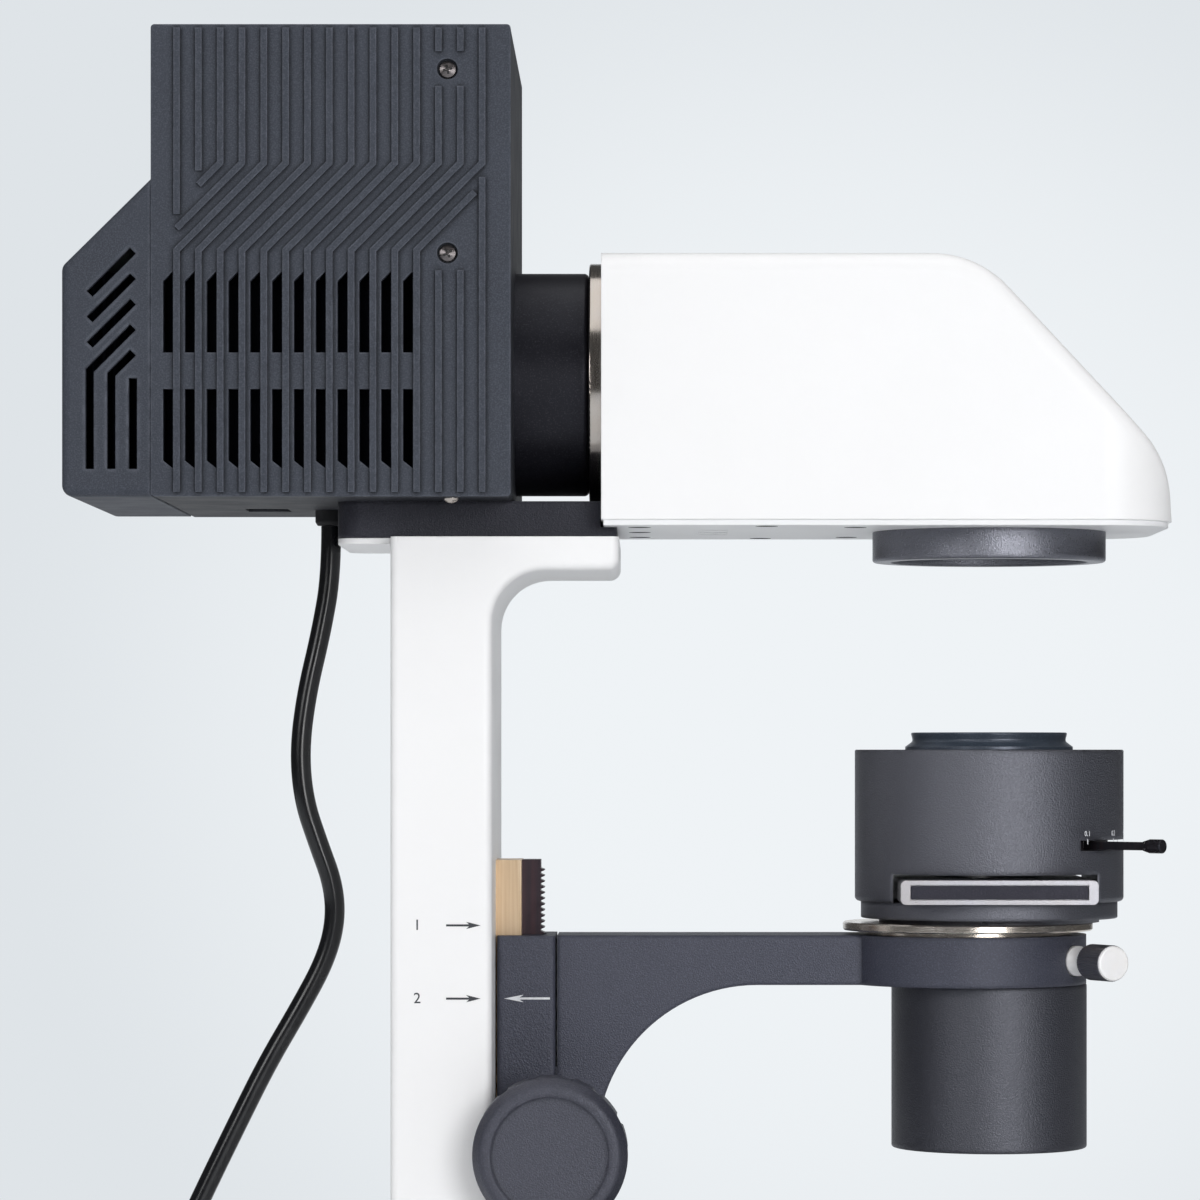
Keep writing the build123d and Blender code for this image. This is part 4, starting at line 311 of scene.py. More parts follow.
def moulding(name, base, edge=0.4 * MM):
    """Moulded plastic with the blasted grain of its tool, painted shade in its creases and a pale line on
    its edges that is partly wear and partly painted highlight.
    """
    finish = Finish(name, base, 0.58, Specular_IOR_Level=0.22)
    specked = finish.specked(2600.0, 0.46, finish.mottled(30.0, 0.08), finish.tone(1.5, 0.008))
    # pale line along the edges, partly wear and partly painted highlight, as wide as the edge allows
    rubbed_and_highlit = finish.worn(specked, finish.tone(2.6, 0.05), edge * 1.8, 0.5)
    sheen = (finish.noise(90.0, 4.0), 0.52, 0.66)
    grain = (finish.cells(1800.0), 0.06 * MM, 0.6)
    # painted shade darkens the creases between the ribs
    return finish.surface(finish.creased(rubbed_and_highlit, 1.6 * MM, 0.3), sheen, edge, grain)


def textured_paint(name, base, shine=0.4, dull=0.42, grit=0.6, index=1.5):
    """Sprayed black paint with small hard grains, painted shade in its creases and a pale edge line that is
    partly wear and partly painted highlight.
    """
    finish = Finish(name, base, dull, Specular_IOR_Level=shine, IOR=index, Specular_Tint=COOL)
    specked = finish.specked(2600.0, 0.48, finish.mottled(22.0, 0.06), finish.tone(1.7, 0.01 * shine))
    # pale edge line, partly wear and partly painted highlight, brighter for a shinier paint
    rubbed_and_highlit = finish.worn(specked, finish.tone(2.4, 0.08 * shine), 0.9 * MM, 0.5)
    sheen = (finish.noise(2000.0, 2.0), dull * 0.85, dull * 1.15)
    grain = (finish.noise(2400.0, 2.0), 0.26 * MM * grit, 1.0)
    # painted shade darkens the creases
    return finish.surface(finish.creased(rubbed_and_highlit, 1.5 * MM, 0.4), sheen, 1.6 * MM, grain)


def anodised(name, base, shine=0.5, grit=0.4, dull=0.4):
    """Bead-blasted aluminium under a black oxide film, with bright corners that are partly wear and partly
    painted highlight, and painted shade in its creases.
    """
    finish = Finish(name, base, dull, 0.2, Specular_IOR_Level=shine, Specular_Tint=COOL)
    blasted = finish.specked(2400.0, 0.54, finish.mottled(26.0, 0.06), finish.tone(1.6, 0.012))
    # bright corners, partly wear and partly painted highlight
    rubbed_and_highlit = finish.worn(blasted, (0.2, 0.2, 0.22), 0.22 * MM, 0.6)
    sheen = (finish.noise(120.0, 4.0), dull * 0.85, dull * 1.15)
    grain = (finish.noise(2000.0, 2.0), 0.06 * MM, grit)
    # painted shade darkens the creases
    return finish.surface(finish.creased(rubbed_and_highlit, 1.2 * MM, 0.4), sheen, 0.25 * MM, grain)


def plated(name, base, roughness=0.16, stretch=(1.0, 1.0, 30.0), metal=1.0):
    """Nickel over turned metal: bright, with fine tool lines and a slight yellow drift."""
    finish = Finish(name, base, roughness, metal)
    lines = finish.noise(240.0, 4.0, finish.stretched(stretch))
    drift = finish.between(finish.noise(60.0, 3.0), 0.35, 0.65)
    tone = finish.blend(drift, base, finish.tone((1.0, 0.97, 0.92)))
    sheen = (lines, roughness * 0.7, roughness * 1.7)
    return finish.surface(tone, sheen, 0.2 * MM, (lines, 0.006 * MM, 0.6))


def drawn_brass(name, base):
    """Drawn brass with long streaks along Z and brown spots of tarnish."""
    finish = Finish(name, base, 0.36, 0.25)
    streaks = finish.noise(900.0, 5.0, finish.stretched((1.0, 1.0, 0.02)))
    drawn = finish.blend(finish.between(streaks, 0.35, 0.7), finish.tone((0.8, 0.72, 0.6)), base)
    spots = finish.between(finish.noise(170.0, 5.0), 0.6, 0.76, 0.0, 0.4)
    tone = finish.blend(spots, drawn, finish.tone((0.45, 0.36, 0.28)))
    return finish.surface(tone, (streaks, 0.28, 0.46), 0.2 * MM, (streaks, 0.02 * MM, 0.7))


def blackened_steel(name, base):
    """Oxide-blackened steel with brown drift, drawn streaks along Z and bright edges that are partly wear
    and partly painted highlight.
    """
    finish = Finish(name, base, 0.36, 0.8)
    streaks = finish.noise(700.0, 4.0, finish.stretched((1.0, 1.0, 0.03)))
    drawn = finish.blend(finish.between(streaks, 0.4, 0.72), base, finish.tone((1.5, 1.15, 1.1)))
    # bright edges, partly wear and partly painted highlight
    rubbed_and_highlit = finish.worn(drawn, (0.36, 0.34, 0.33), 0.12 * MM, 0.8)
    grain = (finish.noise(1500.0, 3.0), 0.02 * MM, 0.5)
    return finish.surface(rubbed_and_highlit, (finish.noise(320.0, 4.0), 0.28, 0.5), 0.1 * MM, grain)


def sheet_steel(name, base):
    """Zinc-plated sheet with rolling lines along X."""
    finish = Finish(name, base, 0.4, 0.7)
    rolled = finish.noise(500.0, 4.0, finish.stretched((0.03, 1.0, 1.0)))
    tone = finish.blend(finish.between(rolled, 0.3, 0.7), finish.tone(0.86), base)
    return finish.surface(tone, (rolled, 0.32, 0.5), 0.2 * MM, (rolled, 0.01 * MM, 0.5))


def rubber(name, base):
    """Soft rubber with a dusty bloom."""
    finish = Finish(name, base, 0.7, Specular_IOR_Level=0.35)
    bloom = finish.between(finish.noise(110.0, 5.0), 0.48, 0.75)
    tone = finish.blend(bloom, base, finish.tone(1.7, 0.012))
    grain = (finish.noise(1800.0, 3.0), 0.03 * MM, 0.5)
    return finish.surface(tone, (finish.noise(60.0, 4.0), 0.62, 0.8), 0.4 * MM, grain)


def sheath(name, base):
    """Glossy PVC that has picked up faint scuffs."""
    finish = Finish(name, base, 0.24, Specular_IOR_Level=0.55)
    grain = (finish.noise(160.0, 2.0), 0.02 * MM, 0.25)
    return finish.surface(finish.mottled(80.0, 0.2), (finish.noise(90.0, 5.0), 0.17, 0.3), grain=grain)


def lens_glass(name, tint):
    """Clear coated glass with a trace of dust."""
    coating = {"Coat_Weight": 0.3, "Coat_Roughness": 0.03}
    finish = Finish(name, tint, 0.02, Transmission_Weight=1.0, IOR=1.52, **coating)
    return finish.surface(finish.mottled(40.0, 0.02), (finish.noise(900.0, 5.0), 0.01, 0.06))


def silvered(name, base):
    """Front-silvered mirror with a fine haze."""
    finish = Finish(name, base, 0.04, 1.0)
    return finish.surface(finish.mottled(50.0, 0.02), (finish.noise(500.0, 5.0), 0.02, 0.08))


def fired_clay(name, base):
    """Unglazed ceramic with small pits and heat stains."""
    finish = Finish(name, base, 0.75)
    stain = finish.between(finish.noise(90.0, 5.0), 0.5, 0.75)
    tone = finish.blend(stain, base, finish.tone((0.72, 0.62, 0.5)))
    pits = (finish.cells(900.0), 0.08 * MM, 0.5)
    return finish.surface(tone, (finish.noise(300.0, 3.0), 0.65, 0.85), 0.4 * MM, pits)


def ink(name, base):
    """Screen-printed ink, thin and slightly uneven."""
    finish = Finish(name, base, 0.5)
    return finish.surface(finish.mottled(900.0, 0.08), (finish.noise(1400.0, 3.0), 0.42, 0.6))


def coat(material, *nodes):
    """Puts a finish on every slot of some CAD nodes."""
    for node in nodes:
        for slot in NODES[node].material_slots:
            slot.material = material


# Surfaces


def axes_along(direction):
    """Three unit vectors, the last one along the direction."""
    along = np.array(Vector(direction).normalized())
    side = np.cross(UP if abs(along[2]) < 0.9 else (0.0, 1.0, 0.0), along)
    side /= np.linalg.norm(side)
    return side, np.cross(along, side), along


def keep(name, mesh, material, body, sharp=35.0):
    """Piece from a mesh, on a body: doubles merged, normals out, smooth between sharp edges."""
    shape = bmesh.new()
    shape.from_mesh(mesh)
    bmesh.ops.remove_doubles(shape, verts=shape.verts, dist=1e-7)
    bmesh.ops.dissolve_degenerate(shape, edges=shape.edges, dist=1e-8)
    bmesh.ops.recalc_face_normals(shape, faces=shape.faces)
    shape.to_mesh(mesh)
    shape.free()
    mesh.shade_smooth()
    mesh.set_sharp_from_angle(angle=math.radians(sharp))
    mesh.materials.clear()
    mesh.materials.append(material)
    piece = bpy.data.objects.new(name, mesh)
    bpy.context.scene.collection.objects.link(piece)
    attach(piece, body)
    return piece


def grid_mesh(name, points, ring=False):
    """Mesh of a grid of points (rows, columns, 3) that closes round its columns, and with ring its rows."""
    rows, columns = points.shape[:2]
    index = np.arange(rows * columns).reshape(rows, columns)
    index = np.concatenate([index, index[:1]], axis=0) if ring else index
    index = np.concatenate([index, index[:, :1]], axis=1)
    corners = (index[:-1, :-1], index[:-1, 1:], index[1:, 1:], index[1:, :-1])
    mesh = bpy.data.meshes.new(name)
    mesh.from_pydata(points.reshape(-1, 3), [], np.stack(corners, axis=-1).reshape(-1, 4))
    return mesh


def capped(points):
    """Grid of points whose first and last rows are closed to their middles."""
    ends = points[[0, -1]].mean(1, keepdims=True) + np.zeros((2, *points.shape[1:]))
    return np.concatenate([ends[:1], points, ends[1:]])


def lathe(name, profile, origin, direction, steps=96, ring=False, ridges=0, depth=0.0):
    """Surface of revolution: a profile of (radius, height) rows turned about a line.

    A knurl adds a wave of sharp ridges in the angle, |angle * ridges / pi mod 2 - 1| times its
    depth, in the share that the profile's third column gives.
    """
    profile = np.asarray(profile, dtype=float)
    angle = np.linspace(0.0, 2.0 * math.pi, steps, endpoint=False)
    radius = profile[:, :1] + np.zeros_like(angle)
    if ridges:
        radius += depth * np.abs(((angle * ridges / math.pi) % 2.0) - 1.0) * profile[:, 2:3]
    side, other, along = axes_along(direction)
    around = np.cos(angle)[:, None] * side + np.sin(angle)[:, None] * other
    points = np.asarray(origin) + radius[..., None] * around + profile[:, 1, None, None] * along
    return grid_mesh(name, points, ring)


def sleeve_mesh(name, section, origin, direction, ridges, depth):
    """Knurled sleeve with bevelled ends, from its radius, low end, high end and bevel."""
    radius, low, high, bevel = section
    profile = (
        (radius - bevel, low, 0.0),
        (radius, low + bevel, 1.0),
        (radius, high - bevel, 1.0),
        (radius - bevel, high, 0.0),
        (radius - 2.0 * bevel, high, 0.0),
        (radius - 2.0 * bevel, low, 0.0),
    )
    return lathe(name, profile, origin, direction, round(ridges * 4), True, ridges, depth)


def band_profile(radius, low, high, proud):
    """Closed section of a thin ring that hugs a barrel, with a rounded outer face."""
    turn = np.linspace(-math.pi / 2, math.pi / 2, 7)
    height = (low + high) / 2 + (high - low) / 2 * np.sin(turn)
    outer = np.column_stack([radius + proud * np.cos(turn) ** 0.5, height])
    return np.concatenate([outer, [(radius - proud, high), (radius - proud, low)]])


def plate_mesh(name, outline, thickness):
    """Flat plate on local XY from an outline of (x, y) rows, closed above and below."""
    outline = np.asarray(outline, dtype=float)
    count = len(outline)
    low = np.column_stack([outline, np.zeros(count)])
    points = np.concatenate([low, low + (0.0, 0.0, thickness)])
    walls = np.stack([np.arange(count), np.roll(np.arange(count), -1)], axis=1)
    sides = np.column_stack([walls, walls[:, ::-1] + count])
    mesh = bpy.data.meshes.new(name)
    mesh.from_pydata(points, [], [*sides.tolist(), list(range(count))[::-1], list(range(count, 2 * count))])
    return mesh


def strip_mesh(name, reach, half, lift, slope):
    """Bar along local X that lies on a cone: a flat section carried along X.

    Its height at a distance r from the middle is -slope * r, and its section stands over that
    and under it by the lift.
    """
    along = np.linspace(-reach, reach, 9)[:, None] + np.zeros(4)
    sideways = np.array([-half, half, half, -half]) + np.zeros_like(along)
    height = np.array([lift, lift, -lift, -lift]) - slope * np.hypot(along, sideways)
    return grid_mesh(name, capped(np.stack([along, sideways, height], axis=-1)))


def figures_mesh(name, text, size, thickness):
    """Flat mesh of printed figures, centred on local XY."""
    curve = bpy.data.curves.new(name, "FONT")
    curve.body = text
    curve.size = size
    curve.align_x = "CENTER"
    curve.align_y = "CENTER"
    curve.extrude = thickness / 2
    curve.offset = size * 0.004
    holder = bpy.data.objects.new(name, curve)
    mesh = bpy.data.meshes.new_from_object(holder)
    bpy.data.objects.remove(holder)
    bpy.data.curves.remove(curve)
    return mesh


def moved(mesh, rule):
    """Sends all points of a mesh through a rule that takes and gives an (n, 3) array."""
    flat = np.empty(len(mesh.vertices) * 3)
    mesh.vertices.foreach_get("co", flat)
    mesh.vertices.foreach_set("co", np.ascontiguousarray(rule(flat.reshape(-1, 3))).ravel())
    mesh.update()
    return mesh


def on_plane(origin, right, up):
    """Rule that lays local XY on a plane through origin, with Z along the plane's normal."""
    right, up = np.array(right, dtype=float), np.array(up, dtype=float)
    return lambda points: np.asarray(origin) + points @ np.stack([right, up, np.cross(right, up)])


def round_drum(z, radius, angle):
    """Rule that wraps local XY round a drum on the optical axis, with its middle at an angle from +X."""

    def rule(points):
        turn = angle + points[:, 0] / radius
        out = radius + points[:, 2]
        return np.column_stack([AXIS_X + out * np.cos(turn), out * np.sin(turn), z + points[:, 1]])

    return rule


def arrow_outline(span, stroke):
    """Arrow that points along +X: a shaft and a barbed head, centred on its length."""
    half, head, barb = span / 2, span * 0.42, stroke * 1.75
    upper = [(half - head, barb), (half - head * 0.8, stroke / 2), (-half, stroke / 2)]
    return [(x, -y) for x, y in reversed(upper)] + [(half, 0.0)] + upper


def rounded_outline(half_x, half_y, corner):
    """Rectangle with round corners: each corner is a quarter circle."""
    turn = np.linspace(0.0, math.pi / 2, 6)
    parts = []
    for quarter, (sx, sy) in enumerate(((1, 1), (-1, 1), (-1, -1), (1, -1))):
        angle = turn + quarter * math.pi / 2
        centre = np.array([sx * (half_x - corner), sy * (half_y - corner)])
        parts.append(centre + corner * np.column_stack([np.cos(angle), np.sin(angle)]))
    return np.concatenate(parts)


def middle(node):
    """Centre of a CAD node's box."""
    low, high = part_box(node)
    return (np.array(low) + np.array(high)) / 2


# Operators


class MICROSCOPE_OT_stage(bpy.types.Operator):
    """Floor, surroundings, softboxes and the camera at the photo's angle"""

    bl_idname = "microscope.stage"
    bl_label = "Stage"

    # Each softbox: name, setting of its power, size, place, and whether mirrors show it
    SOFTBOXES = (
        ("front_softbox", "key", 0.8, (0.62, -1.9, 0.62), True),
        ("top_softbox", "top", 3.0, (-0.1, -0.3, 2.7), True),
        ("side_softbox", "side", 0.6, (-1.2, -1.6, 0.95), True),
        ("rear_softbox", "rear", 3.2, (-0.95, 2.3, 1.1), False),
    )
    TARGET = Vector((AXIS_X - 0.05, 0.0, 0.38))  # what the softboxes look at
    FLOOR = 2.4  # radius
    FLOOR_FADE = (0.6, 1.9)  # distances between which the floor takes the wall's colour
    GLOW = ((0.035, 1.0, 0.012), math.cos(math.radians(10.0)), 1.0)  # direction, and cosines of its fade
    WALL = ((0.0, 1.0, 0.0), 0.9, 0.98)  # what mirrors see of the wall, in the same way
    SENSOR = 36.0
    SHIFT = (-50.0 / 1200.0, 150.0 / 1200.0)  # of the lens, for the photo's framing

    def execute(self, context):
        studio = context.scene.microscope_studio
        self.camera(context.scene, studio)
        self.floor(studio)
        self.world(context.scene, studio)
        for name, power, size, place, mirrored in self.SOFTBOXES:
            self.softbox(name, getattr(studio, power), size, Vector(place), mirrored)
        context.scene.view_settings.view_transform = "Standard"
        return {"FINISHED"}

    def floor(self, studio):
        """Round sheet under the feet, on a grid of radius and angle, that fades into the wall far out."""
        turn = np.linspace(0.0, 2.0 * math.pi, 64, endpoint=False)
        radius, angle = np.meshgrid(np.linspace(0.0, self.FLOOR, 9), turn, indexing="ij")
        points = np.stack([radius * np.cos(angle), radius * np.sin(angle), np.zeros_like(radius)], axis=-1)
        mesh = grid_mesh("floor", points)
        finish = Finish("pale_floor", screen(240, 242, 244), 0.8)
        finish.put("Base Color", finish.mottled(2.0, 0.01))
        far = finish.add("ShaderNodeVectorMath", [(0, finish.coords)], operation="LENGTH").outputs["Value"]
        fade = maths(finish.tree, "MULTIPLY", finish.between(far, *self.FLOOR_FADE), seen_rays(finish.tree))
        wall = finish.add("ShaderNodeEmission", [("Color", (*studio.backdrop, 1.0))]).outputs[0]
        mix = finish.add("ShaderNodeMixShader", enumerate((fade, finish.shader.outputs[0], wall)))
        finish.tree.links.new(mix.outputs[0], finish.tree.nodes["Material Output"].inputs["Surface"])
        mesh.materials.append(finish.material)
        floor = bpy.data.objects.new("floor", mesh)
        bpy.context.scene.collection.objects.link(floor)

    def world(self, scene, studio):
        """Even light from all round, and a pale wall with a paler glow for the rays that see it.

        Mirrors see the wall straight on the +Y side and the dim room on the others.
        """
        scene.world = bpy.data.worlds.new("pale_room")
        scene.world.use_nodes = True
        tree = scene.world.node_tree
        tones = (self.towards(tree, *self.GLOW), (*studio.backdrop, 1.0), (*studio.glow, 1.0))
        shade = add_node(tree, "ShaderNodeMix", zip((0, 6, 7), tones), data_type="RGBA").outputs[2]
        seen = tree.nodes["Background"]
        tree.links.new(shade, seen.inputs["Color"])
        mirror = tree.nodes.new("ShaderNodeLightPath").outputs["Is Glossy Ray"]
        dim = maths(tree, "MULTIPLY_ADD", mirror, studio.room - studio.fill, studio.fill)
        lit = add_node(tree, "ShaderNodeBackground", [("Color", (1.0, 1.0, 1.0, 1.0)), ("Strength", dim)])
        share = seen_rays(tree, self.towards(tree, *self.WALL))
        mix = add_node(tree, "ShaderNodeMixShader", enumerate((share, lit.outputs[0], seen.outputs[0])))
        tree.links.new(mix.outputs[0], tree.nodes["World Output"].inputs["Surface"])

    def towards(self, tree, direction, low, high):
        """Smooth step of the cosine between a ray and a direction, from low to high."""
        way = tree.nodes.new("ShaderNodeTexCoord").outputs["Generated"]
        links = [(0, way), (1, Vector(direction).normalized())]
        near = add_node(tree, "ShaderNodeVectorMath", links, operation="DOT_PRODUCT").outputs["Value"]
        links = [("Value", near), ("From Min", low), ("From Max", high)]
        fade = add_node(tree, "ShaderNodeMapRange", links, interpolation_type="SMOOTHSTEP")
        return fade.outputs["Result"]

    def softbox(self, name, power, size, place, mirrored):
        """Square area lamp that looks at the target, with or without its image in mirrors."""
        lamp = bpy.data.lights.new(name, "AREA")
        lamp.energy = power
        lamp.size = size
        box = bpy.data.objects.new(name, lamp)
        box.location = place
        box.visible_glossy = mirrored
        box.rotation_euler = (self.TARGET - place).to_track_quat("-Z", "Y").to_euler()
        bpy.context.scene.collection.objects.link(box)

    def camera(self, scene, studio):
        """Level camera that looks along +Y, shifted to the photo's framing."""
        lens = bpy.data.cameras.new("camera")
        lens.lens = studio.lens
        lens.sensor_width = self.SENSOR
        lens.shift_x, lens.shift_y = self.SHIFT
        camera = bpy.data.objects.new("camera", lens)
        camera.location = (AXIS_X - studio.behind, -studio.distance, studio.height)
        camera.rotation_euler = (math.pi / 2, 0.0, 0.0)
        scene.collection.objects.link(camera)
        scene.camera = camera


class MICROSCOPE_OT_lead(bpy.types.Operator):
    """Lamp lead as one smooth curve from the gland to the plug, with the plug's ribbed boot"""

    bl_idname = "microscope.lead"
    bl_label = "Lead"

    BOOT_LENGTH = 10.5 * MM
    BOOT_TOP = -0.4 * MM
    BOOT_RADIUS = 5.75 * MM  # at its lower end
    BOOT_TAPER = 0.127
    BOOT_WALL = 1.6 * MM
    RIB_HEIGHT = 0.35 * MM
    RIB_PAIRS = 5

    def execute(self, context):
        settings = context.scene.microscope_lead
        route = np.array(LEAD_ROUTE) * MM + (AXIS_X, 0.0, 0.0)
        curve = bpy.data.curves.new("lead", "CURVE")
        curve.dimensions = "3D"
        curve.bevel_depth = settings.diameter / 2
        curve.bevel_resolution = 6
        curve.resolution_u = 16
        curve.use_fill_caps = True
        spline = curve.splines.new("NURBS")
        spline.points.add(len(route) - 1)
        spline.points.foreach_set("co", np.column_stack([route, np.ones(len(route))]).ravel())
        spline.order_u = 3
        spline.use_endpoint_u = True
        curve.materials.append(sheath("lead_sheath", settings.sheath))
        lead = bpy.data.objects.new("lead", curve)
        context.scene.collection.objects.link(lead)
        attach(lead, "stand")
        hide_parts("lamp_lead")
        soft = rubber("gland_rubber", screen(30, 30, 33))
        coat(soft, "lead_gland", "lead_plug")
        coat(plated("socket_nickel", context.scene.microscope_finish.nickel), "lead_socket")
        boot = self.boot(route[-1], soft)
        return {"FINISHED"}

    def boot(self, end, material):
        """Ribs down the plug's boot: the radius tapers with height and swells in a squared sine wave."""
        height = np.linspace(-self.BOOT_LENGTH, self.BOOT_TOP, 61)
        taper = self.BOOT_RADIUS - (height + self.BOOT_LENGTH) * self.BOOT_TAPER
        ribs = self.RIB_HEIGHT * np.sin(height / self.BOOT_LENGTH * self.RIB_PAIRS * 2.0 * math.pi) ** 2
        inner = np.column_stack([taper - self.BOOT_WALL, height])[[-1, 0]]
        profile = np.concatenate([np.column_stack([taper + ribs, height]), inner])
        mesh = lathe("plug_boot_ribs", profile, end, UP, 48, ring=True)
        return keep("plug_boot_ribs", mesh, material, "stand", 60.0)


class MICROSCOPE_OT_castings(bpy.types.Operator):
    """White enamel of head and pillar, paint of the stand, and the pieces let into them"""

    bl_idname = "microscope.castings"
    bl_label = "Castings"

    def execute(self, context):
        settings = context.scene.microscope_finish
        coat(enamel("head_enamel", settings.enamel), "head_shell", "column")
        coat(enamel("stand_enamel", settings.stand), "stand_body", "view_head")
        coat(sheet_steel("zinc_sheet", screen(176, 178, 182)), "base_cover")
        coat(enamel("plate_enamel", screen(240, 241, 243)), "head_plate")
        coat(textured_paint("screw_black", screen(44, 44, 48), 0.1, 0.7), "head_screws")
        coat(rubber("foot_rubber", screen(34, 34, 36)), "feet")
        coat(silvered("front_silver", screen(236, 236, 236)), "head_mirror")
        coat(anodised("stage_black", screen(48, 49, 54)), "stage_plate")
        coat(lens_glass("insert_glass", screen(240, 248, 246)), "stage_insert")
        return {"FINISHED"}


class MICROSCOPE_OT_lamp_house(bpy.types.Operator):
    """Moulded lamp house, its screws with crossed slots, its tube and the bulb inside"""

    bl_idname = "microscope.lamp_house"
    bl_label = "Lamp house"

    # From the frame's back, front, floor and roof
    LAMP_BAFFLE = (2.7 * MM, -22.0 * MM, 4.0 * MM, -4.0 * MM)
    # From the hood's back, then from the frame's back and, twice, its floor
    HOOD_BAFFLE = (3.5 * MM, -0.4 * MM, 5.0 * MM, 60.0 * MM)
    BAFFLE_DEPTH = 43.0 * MM  # from the middle plane
    BAFFLE_SHEET = 0.8 * MM  # thickness, and height of the waves
    BAFFLE_WAVES = 7
    FLOOR_SCREW = (2.1 * MM, 1.5 * MM, 0.3 * MM)  # radius, height of the dome and depth in the floor
    FLOOR_SCREW_SPOT = (16.0 * MM, 47.0 * MM)  # from the frame's front and from the middle plane
    COVER_SCREW = 2.3 * MM  # radius
    SLOT = (1.25 * MM, 0.3 * MM, 0.03 * MM)  # reach, half width and lift of a slot's bar
    CONE = 0.35  # slope of a cover screw's head
    SLOT_TURNS = {"lower": 0.5, "upper": 0.2}
    COIL = (1.0 * MM, 6.0 * MM, 9)  # radius, length and turns of the filament
    WIRE = 0.14 * MM  # radius

    def execute(self, context):
        settings = context.scene.microscope_finish
        coat(moulding("lamp_moulding", settings.moulding), "lamp_cover_near", "lamp_cover_far")
        # The hood's wider edge also widens the painted highlight along its edges.
        coat(moulding("hood_moulding", settings.moulding, 1.0 * MM), "lamp_hood")
        coat(moulding("lamp_inside", screen(40, 42, 48)), "lamp_frame")
        coat(textured_paint("bracket_black", screen(34, 34, 41)), "bracket_plate")
        coat(anodised("tube_black", screen(26, 26, 32), 0.3, 0.3), "collector_tube")
        nickel = plated("flange_nickel", settings.nickel, 0.14, (30.0, 1.0, 1.0))
        coat(nickel, "collector_flange")
        coat(plated("screw_nickel", screen(112, 108, 110), 0.24), "lamp_screws")
        coat(lens_glass("collector_glass", screen(244, 249, 250)), "collector_lens", "field_lens")
        coat(lens_glass("bulb_glass", screen(248, 248, 246)), "halogen_bulb")
        coat(fired_clay("socket_clay", screen(226, 222, 212)), "bulb_socket")
        self.baffles()
        self.crossed_slots()
        self.floor_screws(nickel)
        self.filament()
        return {"FINISHED"}

    def baffles(self):
        """Dark sheets behind the vents and the hood's slots that keep stray light in, coloured near black
        as painted shade for the inside seen through them: waves along X.
        """
        # near-black colour stands in for the shade inside the lamp house
        material = textured_paint("baffle_black", screen(8, 10, 17), 0.04, 0.7)
        low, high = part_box("lamp_frame")
        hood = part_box("lamp_hood")[0]
        spans = {
            "lamp_baffle": np.array([low[0], high[0], low[2], high[2]]) + self.LAMP_BAFFLE,
            "hood_baffle": np.array([hood[0], low[0], low[2], low[2]]) + self.HOOD_BAFFLE,
        }
        for name, (x0, x1, z0, z1) in spans.items():
            x = np.linspace(x0, x1, 65)[:, None]
            wave = self.BAFFLE_SHEET * np.sin((x - x0) / (x1 - x0) * self.BAFFLE_WAVES * 2.0 * math.pi)
            depth = self.BAFFLE_DEPTH + wave + np.array([0.0, 0.0, 1.0, 1.0]) * self.BAFFLE_SHEET
            for label, side in SIDES.items():
                grid = np.broadcast_arrays(x, side * depth, np.array([z0, z1, z1, z0]))
                mesh = grid_mesh(name, capped(np.stack(grid, axis=-1)))
                keep(f"{name}_{label}", mesh, material, "stand")

    def floor_screws(self, material):
        """Two small domed screws under the lamp house's floor: a quarter ellipse turned about Z."""
        low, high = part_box("lamp_frame")
        radius, height, seat = self.FLOOR_SCREW
        ahead, aside = self.FLOOR_SCREW_SPOT
        turn = np.linspace(0.0, math.pi / 2, 9)
        dome = np.column_stack([radius * np.sin(turn), -height * np.cos(turn)])
        profile = np.concatenate([dome, [(radius, seat), (0.0, seat)]])
        for label, side in SIDES.items():
            mesh = lathe("floor_screw", profile, (high[0] - ahead, side * aside, low[2]), UP, 32)
            keep(f"floor_screw_{label}", mesh, material, "stand", 50.0)

    def crossed_slots(self):
        """Dark crosses on the cover screws as painted shadow of their slots; the heads are shallow cones.
        """
        material = ink("slot_shadow", screen(24, 23, 24))
        low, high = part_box("lamp_screws")
        heights = {"lower": low[2] + self.COVER_SCREW, "upper": high[2] - self.COVER_SCREW}
        for (row, z), (label, side), arm in itertools.product(heights.items(), SIDES.items(), (0, 1)):
            spot = ((low[0] + high[0]) / 2, low[1] if side < 0 else high[1], z)
            angle = self.SLOT_TURNS[row] + arm * math.pi / 2
            right = np.array([-side * math.cos(angle), 0.0, math.sin(angle)])
            bar = strip_mesh("slot", *self.SLOT, self.CONE)
            moved(bar, on_plane(spot, right, np.cross((0.0, side, 0.0), right)))
            keep(f"crossed_slot_{row}_{label}_{arm}", bar, material, "stand")

    def filament(self):
        """Coil inside the bulb: a helix on Y carried by a small round section."""
        radius, span, turns = self.COIL
        turn = np.linspace(0.0, 2.0 * math.pi * turns, 241)
        out = np.column_stack([np.cos(turn), np.zeros_like(turn), np.sin(turn)])
        path = middle("halogen_bulb") + radius * out + np.outer(turn / turn[-1] - 0.5, (0.0, span, 0.0))
        around = np.linspace(0.0, 2.0 * math.pi, 8, endpoint=False)[:, None]
        wire = self.WIRE * (np.cos(around) * out[:, None] + np.sin(around) * (0.0, 1.0, 0.0))
        mesh = grid_mesh("bulb_filament", capped(path[:, None] + wire))
        tungsten = plated("tungsten", screen(150, 150, 156), 0.3)
        keep("bulb_filament", mesh, tungsten, "stand", 60.0)


